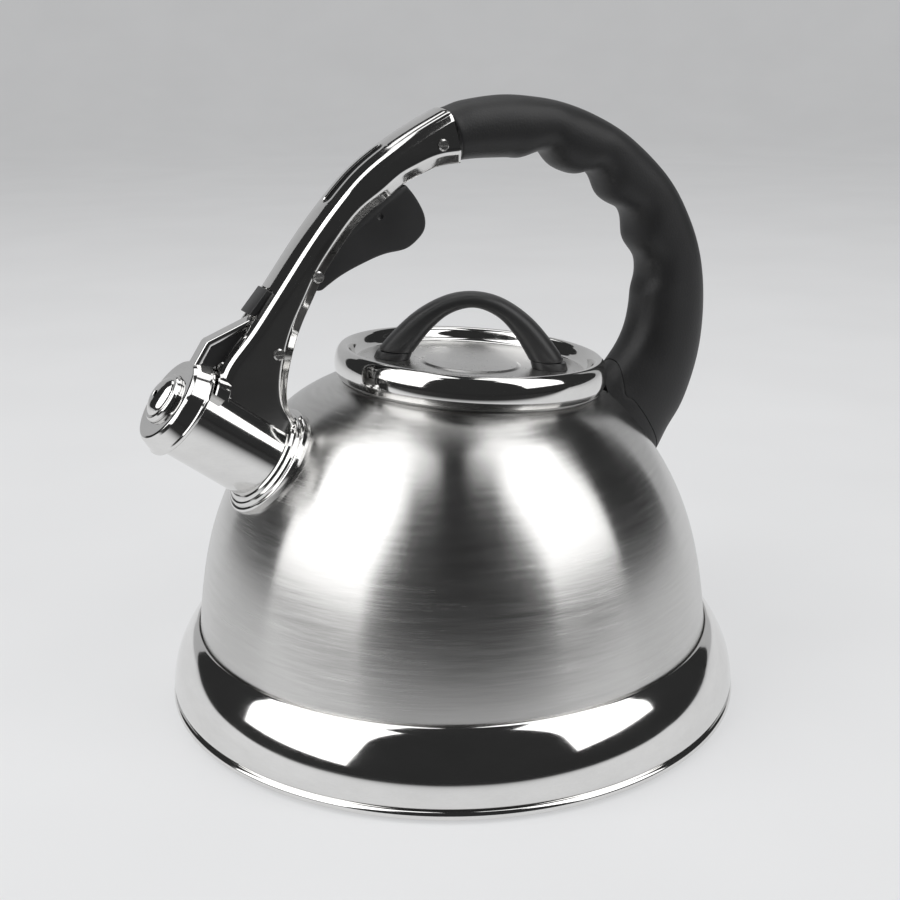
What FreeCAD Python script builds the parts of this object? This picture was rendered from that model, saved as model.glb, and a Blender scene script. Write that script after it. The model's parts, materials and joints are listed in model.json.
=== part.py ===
import FreeCAD, Part
import math
import os

# Stovetop whistling kettle, 3 litre, in millimetres.
# Origin: centre of the flat underside. +Z up, spout towards -X, handle foot towards +X.
# The handle, the spout and the whistle linkage are symmetric about the XZ plane.

V = FreeCAD.Vector
os.makedirs("parts", exist_ok=True)

# ---------------------------------------------------------------- driving dimensions
SHEET = 0.7                 # body sheet thickness
BEAD_R = 1.9                # rolled bead at the foot of the skirt, section radius
BEAD_CENTRE = (110.2, 2.7)  # radius and height of the bead's centre
BASE_R = 109.0              # underside of the base
CORE_R = 104.0              # heat-spreading disc
CORE_T = 3.8
DOME_PROFILE = [(28.0, 100.35), (35.0, 99.56), (41.0, 98.77), (47.0, 97.85), (52.25, 96.9),
                (58.0, 95.67), (63.2, 94.33), (69.0, 92.57), (74.1, 90.72), (79.0, 88.68),
                (83.6, 86.48), (88.5, 83.83), (93.1, 81.03), (97.5, 78.05), (101.5, 75.03),
                (105.5, 71.65), (109.25, 68.11)]   # (height, outer radius)
LID_C = V(8.55, 0, 122.2)   # centre of the lid ring's lower edge
LID_TILT = 4.5              # the neck and lid lean towards the handle foot, degrees
NECK_R = 50.0               # top edge of the dome
NECK_BORE_R = 46.8
LID_TURN = -29.0            # how far the loose lid is turned about its own axis
SPOUT_C = V(-74.1, 0, 101.2)    # spout axis where it meets the dome
SPOUT_ELEV = 38.0           # spout axis above horizontal, degrees
SPOUT_R = 16.15             # tube outer radius
SPOUT_WALL = 0.8
SPOUT_LEN = 39.6            # mouth, along the axis from SPOUT_C
SPOUT_HOLE_R = 14.5
CAP_T0 = 38.1               # rear rim of the whistle cap, along the spout axis
CAP_T1 = 45.4               # front edge of the cap
HINGE = V(-90.2, 0, 139.0)  # whistle cap hinge
HINGE_PIN_R = 1.2
TRIG = V(-56.0, 0, 168.6)   # trigger pivot
TRIG_PIN_R = 1.5
RIVET_TOP = V(-6.9, 0, 211.4)
RIVET_LOW = V(-71.7, 0, 142.8)
SHELL_HALF = 10.5           # half width of the metal handle shell
SHELL_WALL = 1.2
SHELL_SLOT = 7.6            # half width of the opening on the shell's underside
FRONT_SLOT = 5.4            # half width of the opening on the shell's front
FOOT_T = 6.0                # heat-insulating pad between the grip and the dome
RUN = 0.05                  # radial running clearance on hinge pins
GRIP_C = (23.75, 135.85)    # centre that the grip's stations radiate from, x and z
# (station angle, outer radius, inner radius): four finger grooves on the inside
GRIP = [(105.7, 91.59, 71.96), (102.5, 91.95, 71.19), (99.3, 91.95, 70.5), (96.1, 91.89, 69.94),
        (92.9, 91.92, 69.56), (89.7, 91.94, 69.3), (86.5, 91.82, 69.12), (83.3, 91.72, 70.3),
        (80.1, 91.74, 71.99), (76.9, 91.78, 72.13), (73.7, 91.77, 69.34), (70.5, 91.76, 67.95),
        (67.3, 91.78, 67.87), (64.1, 91.81, 68.9), (60.9, 91.87, 71.7), (57.7, 91.94, 72.08),
        (54.5, 92.0, 70.58), (51.3, 92.07, 68.32), (48.1, 92.18, 67.99), (44.9, 92.3, 69.08),
        (41.7, 92.45, 70.53), (38.5, 92.58, 70.39), (35.3, 92.71, 68.54), (32.1, 92.77, 66.32),
        (28.9, 92.7, 66.03), (25.7, 92.61, 66.94), (22.5, 92.5, 67.52), (19.3, 92.42, 66.74),
        (16.1, 92.31, 65.16), (12.9, 92.17, 62.87), (9.7, 91.93, 61.62), (6.5, 91.65, 60.75),
        (3.3, 91.42, 59.83), (0.1, 91.22, 58.87), (-3.1, 91.08, 57.7), (-6.3, 90.97, 56.36),
        (-9.5, 90.82, 54.84), (-12.7, 90.6, 53.2), (-15.9, 90.37, 51.67), (-19.1, 90.14, 50.19),
        (-22.3, 89.86, 48.93), (-25.5, 89.3, 47.75), (-28.7, 88.47, 46.67), (-31.9, 88.16, 45.88),
        (-35.1, 88.5, 45.52), (-38.3, 89.0, 45.4), (-41.5, 89.5, 45.4), (-44.7, 90.1, 45.5),
        (-48.0, 91.0, 46.0)]
# handle shell, side outline in the XZ plane
SHELL_OUT = [(-3.5, 223.9), (-15.8, 217.9), (-27.5, 211.2), (-38.5, 203.4), (-47.6, 194.4),
             (-55.3, 185.7), (-63.0, 176.0), (-69.0, 168.0), (-76.7, 157.8), (-83.3, 149.6),
             (-92.0, 138.9)]
SHELL_IN = [(1.3, 204.7), (-7.9, 203.8), (-15.8, 201.0), (-21.3, 198.5), (-27.6, 194.0),
            (-36.2, 188.3), (-43.3, 181.1), (-48.0, 175.2), (-52.8, 168.6), (-57.0, 161.0),
            (-62.0, 151.5), (-65.5, 142.3), (-67.9, 133.0), (-68.5, 125.7), (-66.9, 119.3),
            (-64.8, 115.5)]
TRIGGER = [(-53.3, 162.8), (-46.3, 167.2), (-36.6, 171.4), (-26.8, 174.2), (-19.6, 175.4),
           (-15.6, 178.0), (-12.7, 181.4), (-12.3, 185.7), (-14.2, 190.5), (-16.5, 194.1),
           (-20.0, 198.2)]

# ---------------------------------------------------------------- helpers
E_S = V(-math.cos(math.radians(SPOUT_ELEV)), 0, math.sin(math.radians(SPOUT_ELEV)))
U_S = V(math.sin(math.radians(SPOUT_ELEV)), 0, math.cos(math.radians(SPOUT_ELEV)))
N_L = V(math.sin(math.radians(LID_TILT)), 0, math.cos(math.radians(LID_TILT)))
X_L = V(math.cos(math.radians(LID_TILT)), 0, -math.sin(math.radians(LID_TILT)))
Y = V(0, 1, 0)
Z = V(0, 0, 1)
X = V(1, 0, 0)


def save(name, shape):
    shape = shape.removeSplitter() if len(shape.Solids) == 1 else shape
    if len(shape.Solids) == 1:
        shape = shape.Solids[0]
    if not shape.isValid():
        shape.fix(1e-6, 1e-6, 1e-6)
    print("%-20s solids %d valid %s volume %.0f" % (name, len(shape.Solids), shape.isValid(), shape.Volume))
    shape.exportStep("parts/%s.step" % name)
    return shape


def segs(parts, origin, ur, ut):
    """Edges through (r, t) points: 'L' straight runs, 'S' smooth curves."""
    edges, last = [], None
    for kind, pts in parts:
        w = [origin + ur * p[0] + ut * p[1] for p in pts]
        if last is not None and (w[0] - last).Length > 1e-6:
            edges.append(Part.LineSegment(last, w[0]).toShape())
        if kind == "L":
            for a, b in zip(w, w[1:]):
                edges.append(Part.LineSegment(a, b).toShape())
        else:
            c = Part.BSplineCurve()
            c.interpolate(w)
            edges.append(c.toShape())
        last = w[-1]
    first = origin + ur * parts[0][1][0][0] + ut * parts[0][1][0][1]
    if (last - first).Length > 1e-6:
        edges.append(Part.LineSegment(last, first).toShape())
    return edges


def revolve(parts, origin=V(0, 0, 0), ur=X, ut=Z):
    face = Part.Face(Part.Wire(segs(parts, origin, ur, ut)))
    return face.revolve(origin, ut, 360)


def offset_pts(pts, d, n=14):
    """Points of the smooth curve through pts, moved sideways by d (left of travel is positive)."""
    c = Part.BSplineCurve()
    c.interpolate([V(p[0], p[1], 0) for p in pts])
    a, b = c.FirstParameter, c.LastParameter
    out = []
    for i in range(n):
        u = a + (b - a) * i / (n - 1)
        p, t = c.value(u), c.tangent(u)[0]
        out.append((p.x - t.y * d, p.y + t.x * d))
    return out


def sheet(curves, d, origin=V(0, 0, 0), ur=X, ut=Z, n=14):
    """Revolved sheet of thickness |d| on one side of a chain of smooth curves and straight runs."""
    outer, inner = [], []
    for kind, pts in curves:
        outer.append((kind, pts))
        if kind == "S":
            inner.append(("S", offset_pts(pts, d, n)[::-1]))
        else:
            q = []
            for a, b in zip(pts, pts[1:]):
                l = math.hypot(b[0] - a[0], b[1] - a[1])
                nx, ny = -(b[1] - a[1]) / l * d, (b[0] - a[0]) / l * d
                q += [(a[0] + nx, a[1] + ny), (b[0] + nx, b[1] + ny)]
            inner.append(("L", q[::-1]))
    return revolve(outer + inner[::-1], origin, ur, ut)


def xz(p, y=0.0):
    return V(p[0], y, p[1])


def prism(parts, y0, y1):
    """Solid between y0 and y1 over an XZ outline of ('L' | 'S', points) pieces."""
    face = Part.Face(Part.Wire(segs(parts, V(0, y0, 0), X, Z)))
    return face.extrude(V(0, y1 - y0, 0))


def rod(c, r, y0, y1):
    return Part.makeCylinder(r, y1 - y0, V(c.x, y0, c.z), Y)


def along(axis_point, direction, r, t0, t1):
    return Part.makeCylinder(r, t1 - t0, axis_point + direction * t0, direction)


def st(t, r, y=0.0):
    """Point at distance t along the spout axis and r above it."""
    return SPOUT_C + E_S * t + U_S * r + Y * y


def skin(rows):
    """Closed solid over rings of points: one smooth side surface and two flat ends."""
    surf = Part.BSplineSurface()
    surf.interpolate([r + [r[0]] for r in rows])
    side = surf.toShape()
    ends = []
    for e in side.Edges:
        a, b = e.valueAt(e.FirstParameter), e.valueAt(e.LastParameter)
        if (a - b).Length < 1e-6:
            ends.append(Part.Face(Part.Wire([e])))
    shell = Part.makeShell([side] + ends)
    shell.sewShape()
    s = Part.Solid(Part.Shell(shell.Faces) if not isinstance(shell, Part.Shell) else shell)
    if s.Volume < 0:
        s.reverse()
    return s


def ring(r, centre, tilt, n=64):
    a = math.radians(tilt)
    ux = V(math.cos(a), 0, -math.sin(a))
    return [centre + ux * (r * math.cos(2 * math.pi * j / n)) + Y * (r * math.sin(2 * math.pi * j / n))
            for j in range(n)]


# ---------------------------------------------------------------- body
DOME_TOP = [(113.5, 63.7), (117.6, 58.7), (121.2, 53.5), (124.4, 47.8), (126.8, 42.5)]
MERIDIAN = [(r, z) for z, r in DOME_PROFILE + DOME_TOP]


def above(s):
    """Everything higher than the tilted plane at height s over the lid's lower edge."""
    b = Part.makeBox(300, 300, 100, V(-150, -150, 0))
    b.Placement = FreeCAD.Placement(LID_C + N_L * s, FreeCAD.Rotation(Y, LID_TILT))
    return b


def dome_body(pts, z_low, top_s):
    pts = [(pts[0][0], z_low)] + pts[1:]
    solid = revolve([("S", pts), ("L", [pts[-1], (0, pts[-1][1]), (0, z_low), pts[0]])])
    return solid.cut(above(top_s))


dome_outer = dome_body(MERIDIAN, 28.0, -1.6)
dome_inner = dome_body(offset_pts(MERIDIAN, SHEET, 24), 27.0, -2.3)
dome = dome_outer.cut(dome_inner)
dome = dome.cut(along(LID_C, N_L, NECK_BORE_R, -12, 5))
dome = dome.cut(along(SPOUT_C, E_S, SPOUT_HOLE_R, -25, 8))
save("dome_shell", dome)

SKIRT = [(110.7, 4.4), (111.5, 6.4), (111.3, 9.5), (110.4, 14.0), (108.6, 19.0), (105.9, 24.2),
         (102.9, 28.4), (101.2, 30.0)]
skirt = sheet([("S", SKIRT)], SHEET)
skirt = skirt.fuse(revolve([("L", [(101.3, 30.05), (100.42, 30.05), (100.42, 29.0), (102.0, 28.4)])]))
bead = Part.makeTorus(BEAD_CENTRE[0], BEAD_R, V(0, 0, BEAD_CENTRE[1]), Z)
skirt = skirt.fuse(bead)
# the pan floor and its edge sit inside the bead
skirt = skirt.cut(Part.makeCylinder(108.9, 4.0, V(0, 0, 1.0), Z))
save("base_skirt", skirt)

cover = revolve([("L", [(0, 0), (BASE_R - 0.5, 0), (BASE_R, 0.3), (BASE_R, 0.7), (105.0, 0.7),
                        (105.0, 4.4), (104.4, 4.4), (104.4, 0.6), (0, 0.6)])])
save("base_cover", cover)
save("base_core", Part.makeCylinder(CORE_R, CORE_T, V(0, 0, 0.6), Z))
floor = revolve([("L", [(0, 4.4), (108.8, 4.4), (108.8, 5.0), (0, 5.0)])])
save("body_floor", floor)

collar = revolve([("L", [(46.0, -1.0), (49.3, -1.0), (49.3, -1.6), (46.6, -1.6), (46.6, -11.0),
                         (46.0, -11.0)])], LID_C, X_L, N_L)
save("neck_collar", collar)

# ---------------------------------------------------------------- spout
flange = revolve([("L", [(SPOUT_R, -8), (21.2, -8), (21.2, 1.0), (20.7, 1.5), (19.6, 1.5), (19.4, 2.4),
                         (18.9, 2.8), (18.0, 2.8), (17.5, 3.9), (SPOUT_R, 4.3)])], SPOUT_C, U_S, E_S)
flange = flange.cut(dome_outer)
flange = save("spout_flange", flange)
tube = revolve([("L", [(SPOUT_R - SPOUT_WALL, -8), (SPOUT_R, -8), (SPOUT_R, SPOUT_LEN - 0.4),
                       (SPOUT_R - 0.4, SPOUT_LEN), (SPOUT_R - SPOUT_WALL, SPOUT_LEN)])],
               SPOUT_C, U_S, E_S)
tube = tube.cut(dome_outer)
tube = save("spout_tube", tube)

# ---------------------------------------------------------------- handle shell
seam_out, seam_in = SHELL_OUT[0], SHELL_IN[0]
outline = [("S", SHELL_OUT), ("L", [SHELL_OUT[-1], (-86.0, 118.0), (-70.0, 106.0), SHELL_IN[-1]]),
           ("S", SHELL_IN[::-1])]
shell = prism(outline, -SHELL_HALF, SHELL_HALF)


def long_edges(shape, pts, tol=0.6):
    found = []
    for e in shape.Edges:
        mid = e.valueAt((e.FirstParameter + e.LastParameter) / 2)
        if e.Length > 60 and abs(abs(mid.y) - SHELL_HALF) < 1e-3:
            found.append(e)
    return found


try:
    rounded = shell.makeFillet(3.0, long_edges(shell, SHELL_OUT))
    if rounded.isValid():
        shell = rounded
        print("shell edges rounded")
except Exception as err:
    print("shell left square", err)

cav_out = offset_pts(SHELL_OUT, SHELL_WALL, 16)
cav_in = offset_pts(SHELL_IN, -SHELL_WALL, 20)
# the cavity runs out through the seam end and the lower end
d0 = V(cav_out[0][0] - cav_out[1][0], 0, cav_out[0][1] - cav_out[1][1]).normalize()
d1 = V(cav_in[0][0] - cav_in[1][0], 0, cav_in[0][1] - cav_in[1][1]).normalize()
cav = prism([("S", cav_out), ("L", [cav_out[-1], (-86.5, 114.0), (-72.0, 103.0), cav_in[-1]]),
             ("S", cav_in[::-1]),
             ("L", [cav_in[0], (cav_in[0][0] + d1.x * 6, cav_in[0][1] + d1.z * 6),
                    (cav_out[0][0] + d0.x * 6, cav_out[0][1] + d0.z * 6), cav_out[0]])],
            -(SHELL_HALF - SHELL_WALL), SHELL_HALF - SHELL_WALL)
shell = shell.cut(cav)
low_a = offset_pts(SHELL_IN[1:], -4.0, 20)
low_b = offset_pts(SHELL_IN[1:], 6.0, 20)
under = prism([("S", low_a), ("L", [low_a[-1], (-74.0, 100.0), (-60.0, 104.0), low_b[-1]]),
               ("S", low_b[::-1]), ("L", [low_b[0], low_a[0]])], -SHELL_SLOT, SHELL_SLOT)
shell = shell.cut(under)
# opening on the front, where the trigger's hook and the cap lever pass
front = prism([("L", [(-68.35, 162.1), (-75.3, 167.9), (-98.0, 142.0), (-94.0, 128.0), (-84.0, 128.0),
                      (-85.5, 142.0)])], -FRONT_SLOT, FRONT_SLOT)
shell = shell.cut(front)
# seats on the tube, the flange, the hinge saddle and the dome
SADDLE_R, SADDLE_T0, SADDLE_T1 = 19.3, 31.8, 37.3
shell = shell.cut(along(SPOUT_C, E_S, SPOUT_R, -20, 60))
shell = shell.cut(along(SPOUT_C, E_S, SADDLE_R, SADDLE_T0 - 0.05, 60))
shell = shell.cut(along(SPOUT_C, E_S, 21.2, -12, 1.5)).cut(along(SPOUT_C, E_S, 19.8, 1.0, 2.85))
shell = shell.cut(along(SPOUT_C, E_S, 18.15, 2.0, 4.35)).cut(dome_outer)
for c, r in ((RIVET_TOP, 1.5), (RIVET_LOW, 1.5), (TRIG, TRIG_PIN_R)):
    shell = shell.cut(rod(c, r, -20, 20))


# black inlay let into the top of the shell: a slot with round ends, following the curve
def inlay(top, bottom, half):
    a = offset_pts(SHELL_OUT, -top, 60)
    b = offset_pts(SHELL_OUT, bottom, 60)
    keep = [i for i in range(60) if -49.0 <= offset_pts(SHELL_OUT, 0.0, 60)[i][0] <= -27.0]
    a = [a[i] for i in keep]
    b = [b[i] for i in keep]
    return prism([("S", a), ("L", [a[-1], b[-1]]), ("S", b[::-1]), ("L", [b[0], a[0]])], -half, half)


slot_cut = inlay(2.0, 2.5, 2.6)
slot_fill = inlay(-0.25, 1.1, 2.55)
shell = shell.cut(slot_cut)
if len(shell.Solids) > 1:
    shell = max(shell.Solids, key=lambda s: s.Volume)
save("handle_shell", shell)
save("shell_inlay", slot_fill)


# ---------------------------------------------------------------- grip
def station(i):
    a, ro, ri = GRIP[i]
    d = V(math.cos(math.radians(a)), 0, math.sin(math.radians(a)))
    c = V(GRIP_C[0], 0, GRIP_C[1]) + d * ((ro + ri) / 2)
    p = (ro - ri) / 2
    k = i / (len(GRIP) - 1)
    q = 11.0 + 1.6 * min(1.0, k * 2.2) + 0.6 * k
    pts = []
    for j in range(20):
        u = 2 * math.pi * j / 20
        cu, su = math.cos(u), math.sin(u)
        e = 2 / 2.35
        pts.append(c + d * (p * math.copysign(abs(cu) ** e, cu)) + Y * (q * math.copysign(abs(su) ** e, su)))
    return pts


grip_all = skin([station(i) for i in range(len(GRIP))])
print("grip loft", grip_all.isValid(), round(grip_all.Volume), len(grip_all.Faces))
# the dome's meridian on the handle's side, and a copy standing FOOT_T further out
side = [(r + 0.03, z) for r, z in MERIDIAN[4:]]
side_out = offset_pts(side, -FOOT_T, 20)
dome_side = revolve([("S", side), ("L", [side[-1], (0, side[-1][1]), (0, side[0][1]), side[0]])])
dome_plus = revolve([("S", side_out), ("L", [side_out[-1], (0, side_out[-1][1]), (0, side_out[0][1]), side_out[0]])])
foot = grip_all.common(dome_plus).cut(dome_side)
grip = grip_all.cut(dome_plus)
print("foot", foot.Volume, len(foot.Solids), "grip", grip.Volume, len(grip.Solids))
if len(foot.Solids) > 1:
    foot = max(foot.Solids, key=lambda s: s.Volume)
if len(grip.Solids) > 1:
    grip = max(grip.Solids, key=lambda s: s.Volume)
# tongue that the shell slides over
t0 = [(-3.2, 221.9), (-17.0, 214.9)]
tongue = prism([("L", [(2.5, 223.0), (-3.0, 221.8), (-9.0, 218.9), (-14.5, 216.0), (-13.0, 204.6),
                       (-7.5, 205.7), (0.5, 206.6), (6.0, 206.8)])], -9.0, 9.0)
grip = grip.fuse(tongue).cut(rod(RIVET_TOP, 1.5, -20, 20))

# rear fixing: a steel tab welded to the dome, standing in a pocket of the grip
TAB_A = math.radians(-24.0)
tab_d = V(math.cos(TAB_A), 0, math.sin(TAB_A))
tab_c = V(GRIP_C[0], 0, GRIP_C[1]) + tab_d * 63.0
tan = V(-math.sin(TAB_A), 0, math.cos(TAB_A))


def block(c, da, a0, a1, db, b0, b1, y0, y1):
    p = [c + da * a0 + db * b0, c + da * a1 + db * b0, c + da * a1 + db * b1, c + da * a0 + db * b1]
    p = [V(q.x, y0, q.z) for q in p]
    return Part.Face(Part.makePolygon(p + [p[0]])).extrude(V(0, y1 - y0, 0))


tab = block(tab_c, tan, -14, 13, tab_d, -2.0, 2.0, -6, 6).cut(dome_side)
pocket = block(tab_c, tan, -16, 13.4, tab_d, -2.2, 2.2, -6.2, 6.2)
SCREW_AT = tab_c + tan * 6.0
screw_axis = tab_d
tab = tab.cut(Part.makeCylinder(2.0, 12, SCREW_AT - screw_axis * 6, screw_axis))
grip = grip.cut(pocket)
foot = foot.cut(pocket)
# screw from the back of the grip, head sunk in a counterbore
bore = Part.makeCylinder(2.3, 30, SCREW_AT + screw_axis * 2.0, screw_axis)
cbore = Part.makeCylinder(4.4, 30, SCREW_AT + screw_axis * 21.0, screw_axis)
grip = grip.cut(bore).cut(cbore)
screw = Part.makeCylinder(2.0, 23.0, SCREW_AT - screw_axis * 1.9, screw_axis)
head = Part.makeCylinder(4.0, 2.6, SCREW_AT + screw_axis * 21.1, screw_axis)
drive = Part.makeBox(5.6, 1.0, 1.2, V(-2.8, -0.5, 0))
drive2 = Part.makeBox(1.0, 5.6, 1.2, V(-0.5, -2.8, 0))
rot = FreeCAD.Rotation(Z, screw_axis)
for dshape in (drive, drive2):
    dshape.Placement = FreeCAD.Placement(SCREW_AT + screw_axis * 22.6, rot)
    head = head.cut(dshape)
screw = screw.fuse(head)
save("grip", grip)
save("rear_foot_pad", foot)
save("rear_bracket", tab)
save("rear_screw", screw)

# ---------------------------------------------------------------- front bracket, hinge saddle, pins
plate = [(-77.5, 139.0), (-74.3, 144.6), (-71.0, 145.2), (-69.4, 143.0), (-69.6, 134.0), (-70.2, 118.0),
         (-82.0, 112.0), (-86.5, 123.5)]
bracket = prism([("L", plate)], -9.25, 9.25).cut(prism([("L", [(-100, 100), (-100, 160), (-60, 160), (-60, 100)])], -7.8, 7.8))
web = block(SPOUT_C, E_S, 9.0, 25.0, U_S, 10.0, 17.6, -7.9, 7.9)
bracket = bracket.fuse(web)
bracket = bracket.cut(along(SPOUT_C, E_S, SPOUT_R, -20, 60)).cut(rod(RIVET_LOW, 1.5, -20, 20))
save("front_bracket", bracket)

saddle = revolve([("L", [(SPOUT_R, SADDLE_T0), (SADDLE_R - 0.4, SADDLE_T0), (SADDLE_R, SADDLE_T0 + 0.4),
                         (SADDLE_R, SADDLE_T1 - 0.4), (SADDLE_R - 0.4, SADDLE_T1), (SPOUT_R, SADDLE_T1)])],
                 SPOUT_C, U_S, E_S)
saddle = saddle.common(block(SPOUT_C, E_S, 25, 45, U_S, 10.9, 30, -20, 20))
h_t, h_r = (HINGE - SPOUT_C).dot(E_S), (HINGE - SPOUT_C).dot(U_S)
lug = rod(HINGE, 2.0, -2.0, 2.0).fuse(block(SPOUT_C, E_S, h_t - 2.0, h_t + 1.2, U_S, 17.5, h_r, -2.0, 2.0))
saddle = saddle.cut(rod(HINGE, 2.9, -6, 6)).fuse(lug).cut(rod(HINGE, HINGE_PIN_R, -20, 20))
save("hinge_bracket", saddle)


def rivet(c, r, half, head_r, head_t):
    prof = [("L", [(0, -half - head_t), (head_r * 0.75, -half - head_t), (head_r, -half - head_t * 0.4),
                   (head_r, -half), (r, -half), (r, half), (head_r, half), (head_r, half + head_t * 0.4),
                   (head_r * 0.75, half + head_t), (0, half + head_t)])]
    return revolve(prof, c, Z, Y)


def slot_head(s, c, half, head_t):
    for sgn in (-1, 1):
        y = sgn * (half + head_t)
        s = s.cut(Part.makeBox(6, 0.8, 0.5, V(c.x - 3, y - 0.4, c.z - 0.25)))
    return s


save("hinge_pin", rivet(HINGE, HINGE_PIN_R, 3.55, 1.8, 0.6))
tp = slot_head(rivet(TRIG, TRIG_PIN_R, SHELL_HALF, 2.1, 0.7), TRIG, SHELL_HALF, 0.7)
save("trigger_pin", tp)
rivets = Part.makeCompound([slot_head(rivet(c, 1.5, SHELL_HALF, 2.1, 0.7), c, SHELL_HALF, 0.7)
                            for c in (RIVET_TOP, RIVET_LOW)])
save("shell_rivets", rivets)

# ---------------------------------------------------------------- trigger
ARM = [(-53.3, 162.8), (-62.5, 163.2), (-70.0, 159.2), (-76.2, 155.9), (-78.6, 156.2), (-79.9, 156.7),
       (-72.8, 164.9), (-70.4, 162.9), (-66.5, 166.6), (-61.5, 171.0), (-56.0, 173.6)]
HIDDEN = [(-27.0, 195.2), (-36.0, 189.2), (-44.0, 182.0), (-50.5, 175.8), (-56.0, 174.4), (-60.5, 171.5),
          (-61.5, 166.5), (-58.5, 163.2)]
arm = prism([("L", ARM)], -5.0, 5.0)
pad = prism([("S", TRIGGER), ("L", [TRIGGER[-1]] + HIDDEN)], -6.5, 6.5)
trigger = pad.fuse(arm)
trigger = trigger.cut(rod(TRIG, TRIG_PIN_R + RUN, -20, 20))
# pocket for the return spring's coil on the far side
trigger = trigger.cut(rod(TRIG, 4.2, 4.4, 12))
trigger = save("trigger", trigger)


def coil(c, r, wire, y0, turns, pitch):
    path = Part.makeHelix(pitch, pitch * turns, r)
    path.Placement = FreeCAD.Placement(V(c.x, y0, c.z), FreeCAD.Rotation(Z, Y))
    w = Part.Wire(path)
    start = w.Edges[0].valueAt(w.Edges[0].FirstParameter)
    tangent = w.Edges[0].tangentAt(w.Edges[0].FirstParameter)
    prof = Part.Wire(Part.makeCircle(wire, start, tangent))
    s = w.makePipeShell([prof], True, True)
    return s


spring = coil(TRIG, 3.1, 0.35, 5.0, 2.5, 0.85)
save("trigger_spring", spring)

# ---------------------------------------------------------------- whistle cap
cap = revolve([("L", [(17.3, CAP_T0), (18.2, CAP_T0), (18.4, 38.3), (18.4, 39.2), (17.9, 39.7),
                      (16.2, 44.2), (15.5, 45.2), (14.8, CAP_T1), (9.4, CAP_T1), (9.4, 44.6), (14.4, 44.6),
                      (15.4, 43.6), (16.8, 39.9), (17.3, 39.4)])], SPOUT_C, U_S, E_S)
cap = save("whistle_cap", cap)
nub = revolve([("L", [(1.3, 49.3), (1.3, 50.0)]),
               ("S", [(1.3, 50.0), (3.6, 49.75), (5.6, 49.1), (7.2, 48.1)]),
               ("L", [(7.2, 48.1), (7.5, 47.5), (8.6, 47.5), (9.1, 47.1), (9.35, 46.3), (9.35, 44.7),
                      (8.7, 44.7), (8.7, 46.6), (7.0, 46.8)]),
               ("S", [(7.0, 46.8), (5.4, 48.3), (3.4, 49.0), (1.3, 49.3)])], SPOUT_C, U_S, E_S)
save("whistle_front", nub)
rear = revolve([("L", [(1.3, 41.0), (15.9, 41.0), (15.9, 41.6), (1.3, 41.6)])], SPOUT_C, U_S, E_S)
save("whistle_rear", rear)

# lever: a chromed strip over a black fork that turns on the hinge pin
F, B, E0 = (-100.2, 140.6), (-95.0, 148.4), (-78.3, 154.9)
cap_full = revolve([("L", [(0, CAP_T0 - 0.01), (18.4, CAP_T0 - 0.01), (18.4, 39.2), (17.9, 39.7), (16.2, 44.2),
                           (15.5, 45.2), (14.8, CAP_T1), (0, CAP_T1)])], SPOUT_C, U_S, E_S)


def strip_outline(top, bottom):
    """A bent strip between two distances below the lever's top line."""
    def line(d):
        a = V(B[0] - F[0], 0, B[1] - F[1]).normalize()
        b = V(E0[0] - B[0], 0, E0[1] - B[1]).normalize()
        na, nb = V(a.z, 0, -a.x), V(b.z, 0, -b.x)
        m = (na + nb).normalize()
        k = 1 / m.dot(na)
        return [(F[0] + na.x * d, F[1] + na.z * d), (B[0] + m.x * d * k, B[1] + m.z * d * k),
                (E0[0] + nb.x * d, E0[1] + nb.z * d)]
    return line(top), line(bottom)


ta, tb = strip_outline(0.0, 1.0)
strip = prism([("L", ta + tb[::-1])], -3.4, 3.4)
ra, rb = strip_outline(0.0, 2.2)
rims = prism([("L", ra + rb[::-1])], -3.4, 3.4).cut(prism([("L", ra + rb[::-1])], -2.9, 2.9))
strip = strip.fuse(rims).cut(cap_full)
if len(strip.Solids) > 1:
    strip = max(strip.Solids, key=lambda s: s.Volume)
save("lever_strip", strip)
fa, fb = strip_outline(1.02, 2.2)
FORK_LOW = [(-79.3, 153.0), (-81.6, 149.9), (-85.4, 145.6), (-88.2, 142.2), (-88.3, 139.9), (-88.2, 138.2),
            (-89.4, 137.0), (-91.2, 137.1), (-93.0, 136.4), (-99.0, 138.0)]
lever = prism([("L", fa + FORK_LOW)], -2.85, 2.85)
lever = lever.cut(rod(HINGE, HINGE_PIN_R + RUN, -20, 20))
# the slot of the fork, around the hinge lug
lever = lever.cut(rod(HINGE, 2.5, -2.2, 2.2))
lever = lever.cut(block(SPOUT_C, E_S, h_t - 6.0, h_t + 1.6, U_S, 8, h_r, -2.2, 2.2))
lever = lever.cut(cap_full).cut(along(SPOUT_C, E_S, SADDLE_R + 0.35, 20, CAP_T0))
if len(lever.Solids) > 1:
    lever = max(lever.Solids, key=lambda s: s.Volume)
save("cap_lever", lever)

# ---------------------------------------------------------------- lid
LID_OUT = [(51.0, 0.0), (52.0, 2.2), (52.35, 5.0), (51.9, 8.2), (50.9, 10.4), (49.3, 11.5), (47.6, 11.0),
           (46.5, 9.6), (45.6, 7.7), (44.3, 6.5), (42.4, 6.1)]
lid = sheet([("S", LID_OUT), ("L", [(42.4, 6.1), (19.0, 6.1), (18.2, 6.8), (0.0, 6.8)])], SHEET,
            LID_C, X_L, N_L, 22)
lid_t = FreeCAD.Rotation(N_L, LID_TURN)


def turned(shape):
    s = shape.copy()
    s.rotate(LID_C, N_L, LID_TURN)
    return s


def lidp(u, s, v=0.0):
    return LID_C + X_L * u + N_L * s + Y * v


def lid_prism(parts, y0, y1):
    face = Part.Face(Part.Wire(segs(parts, LID_C + Y * y0, X_L, N_L)))
    return face.extrude(V(0, y1 - y0, 0))


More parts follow.
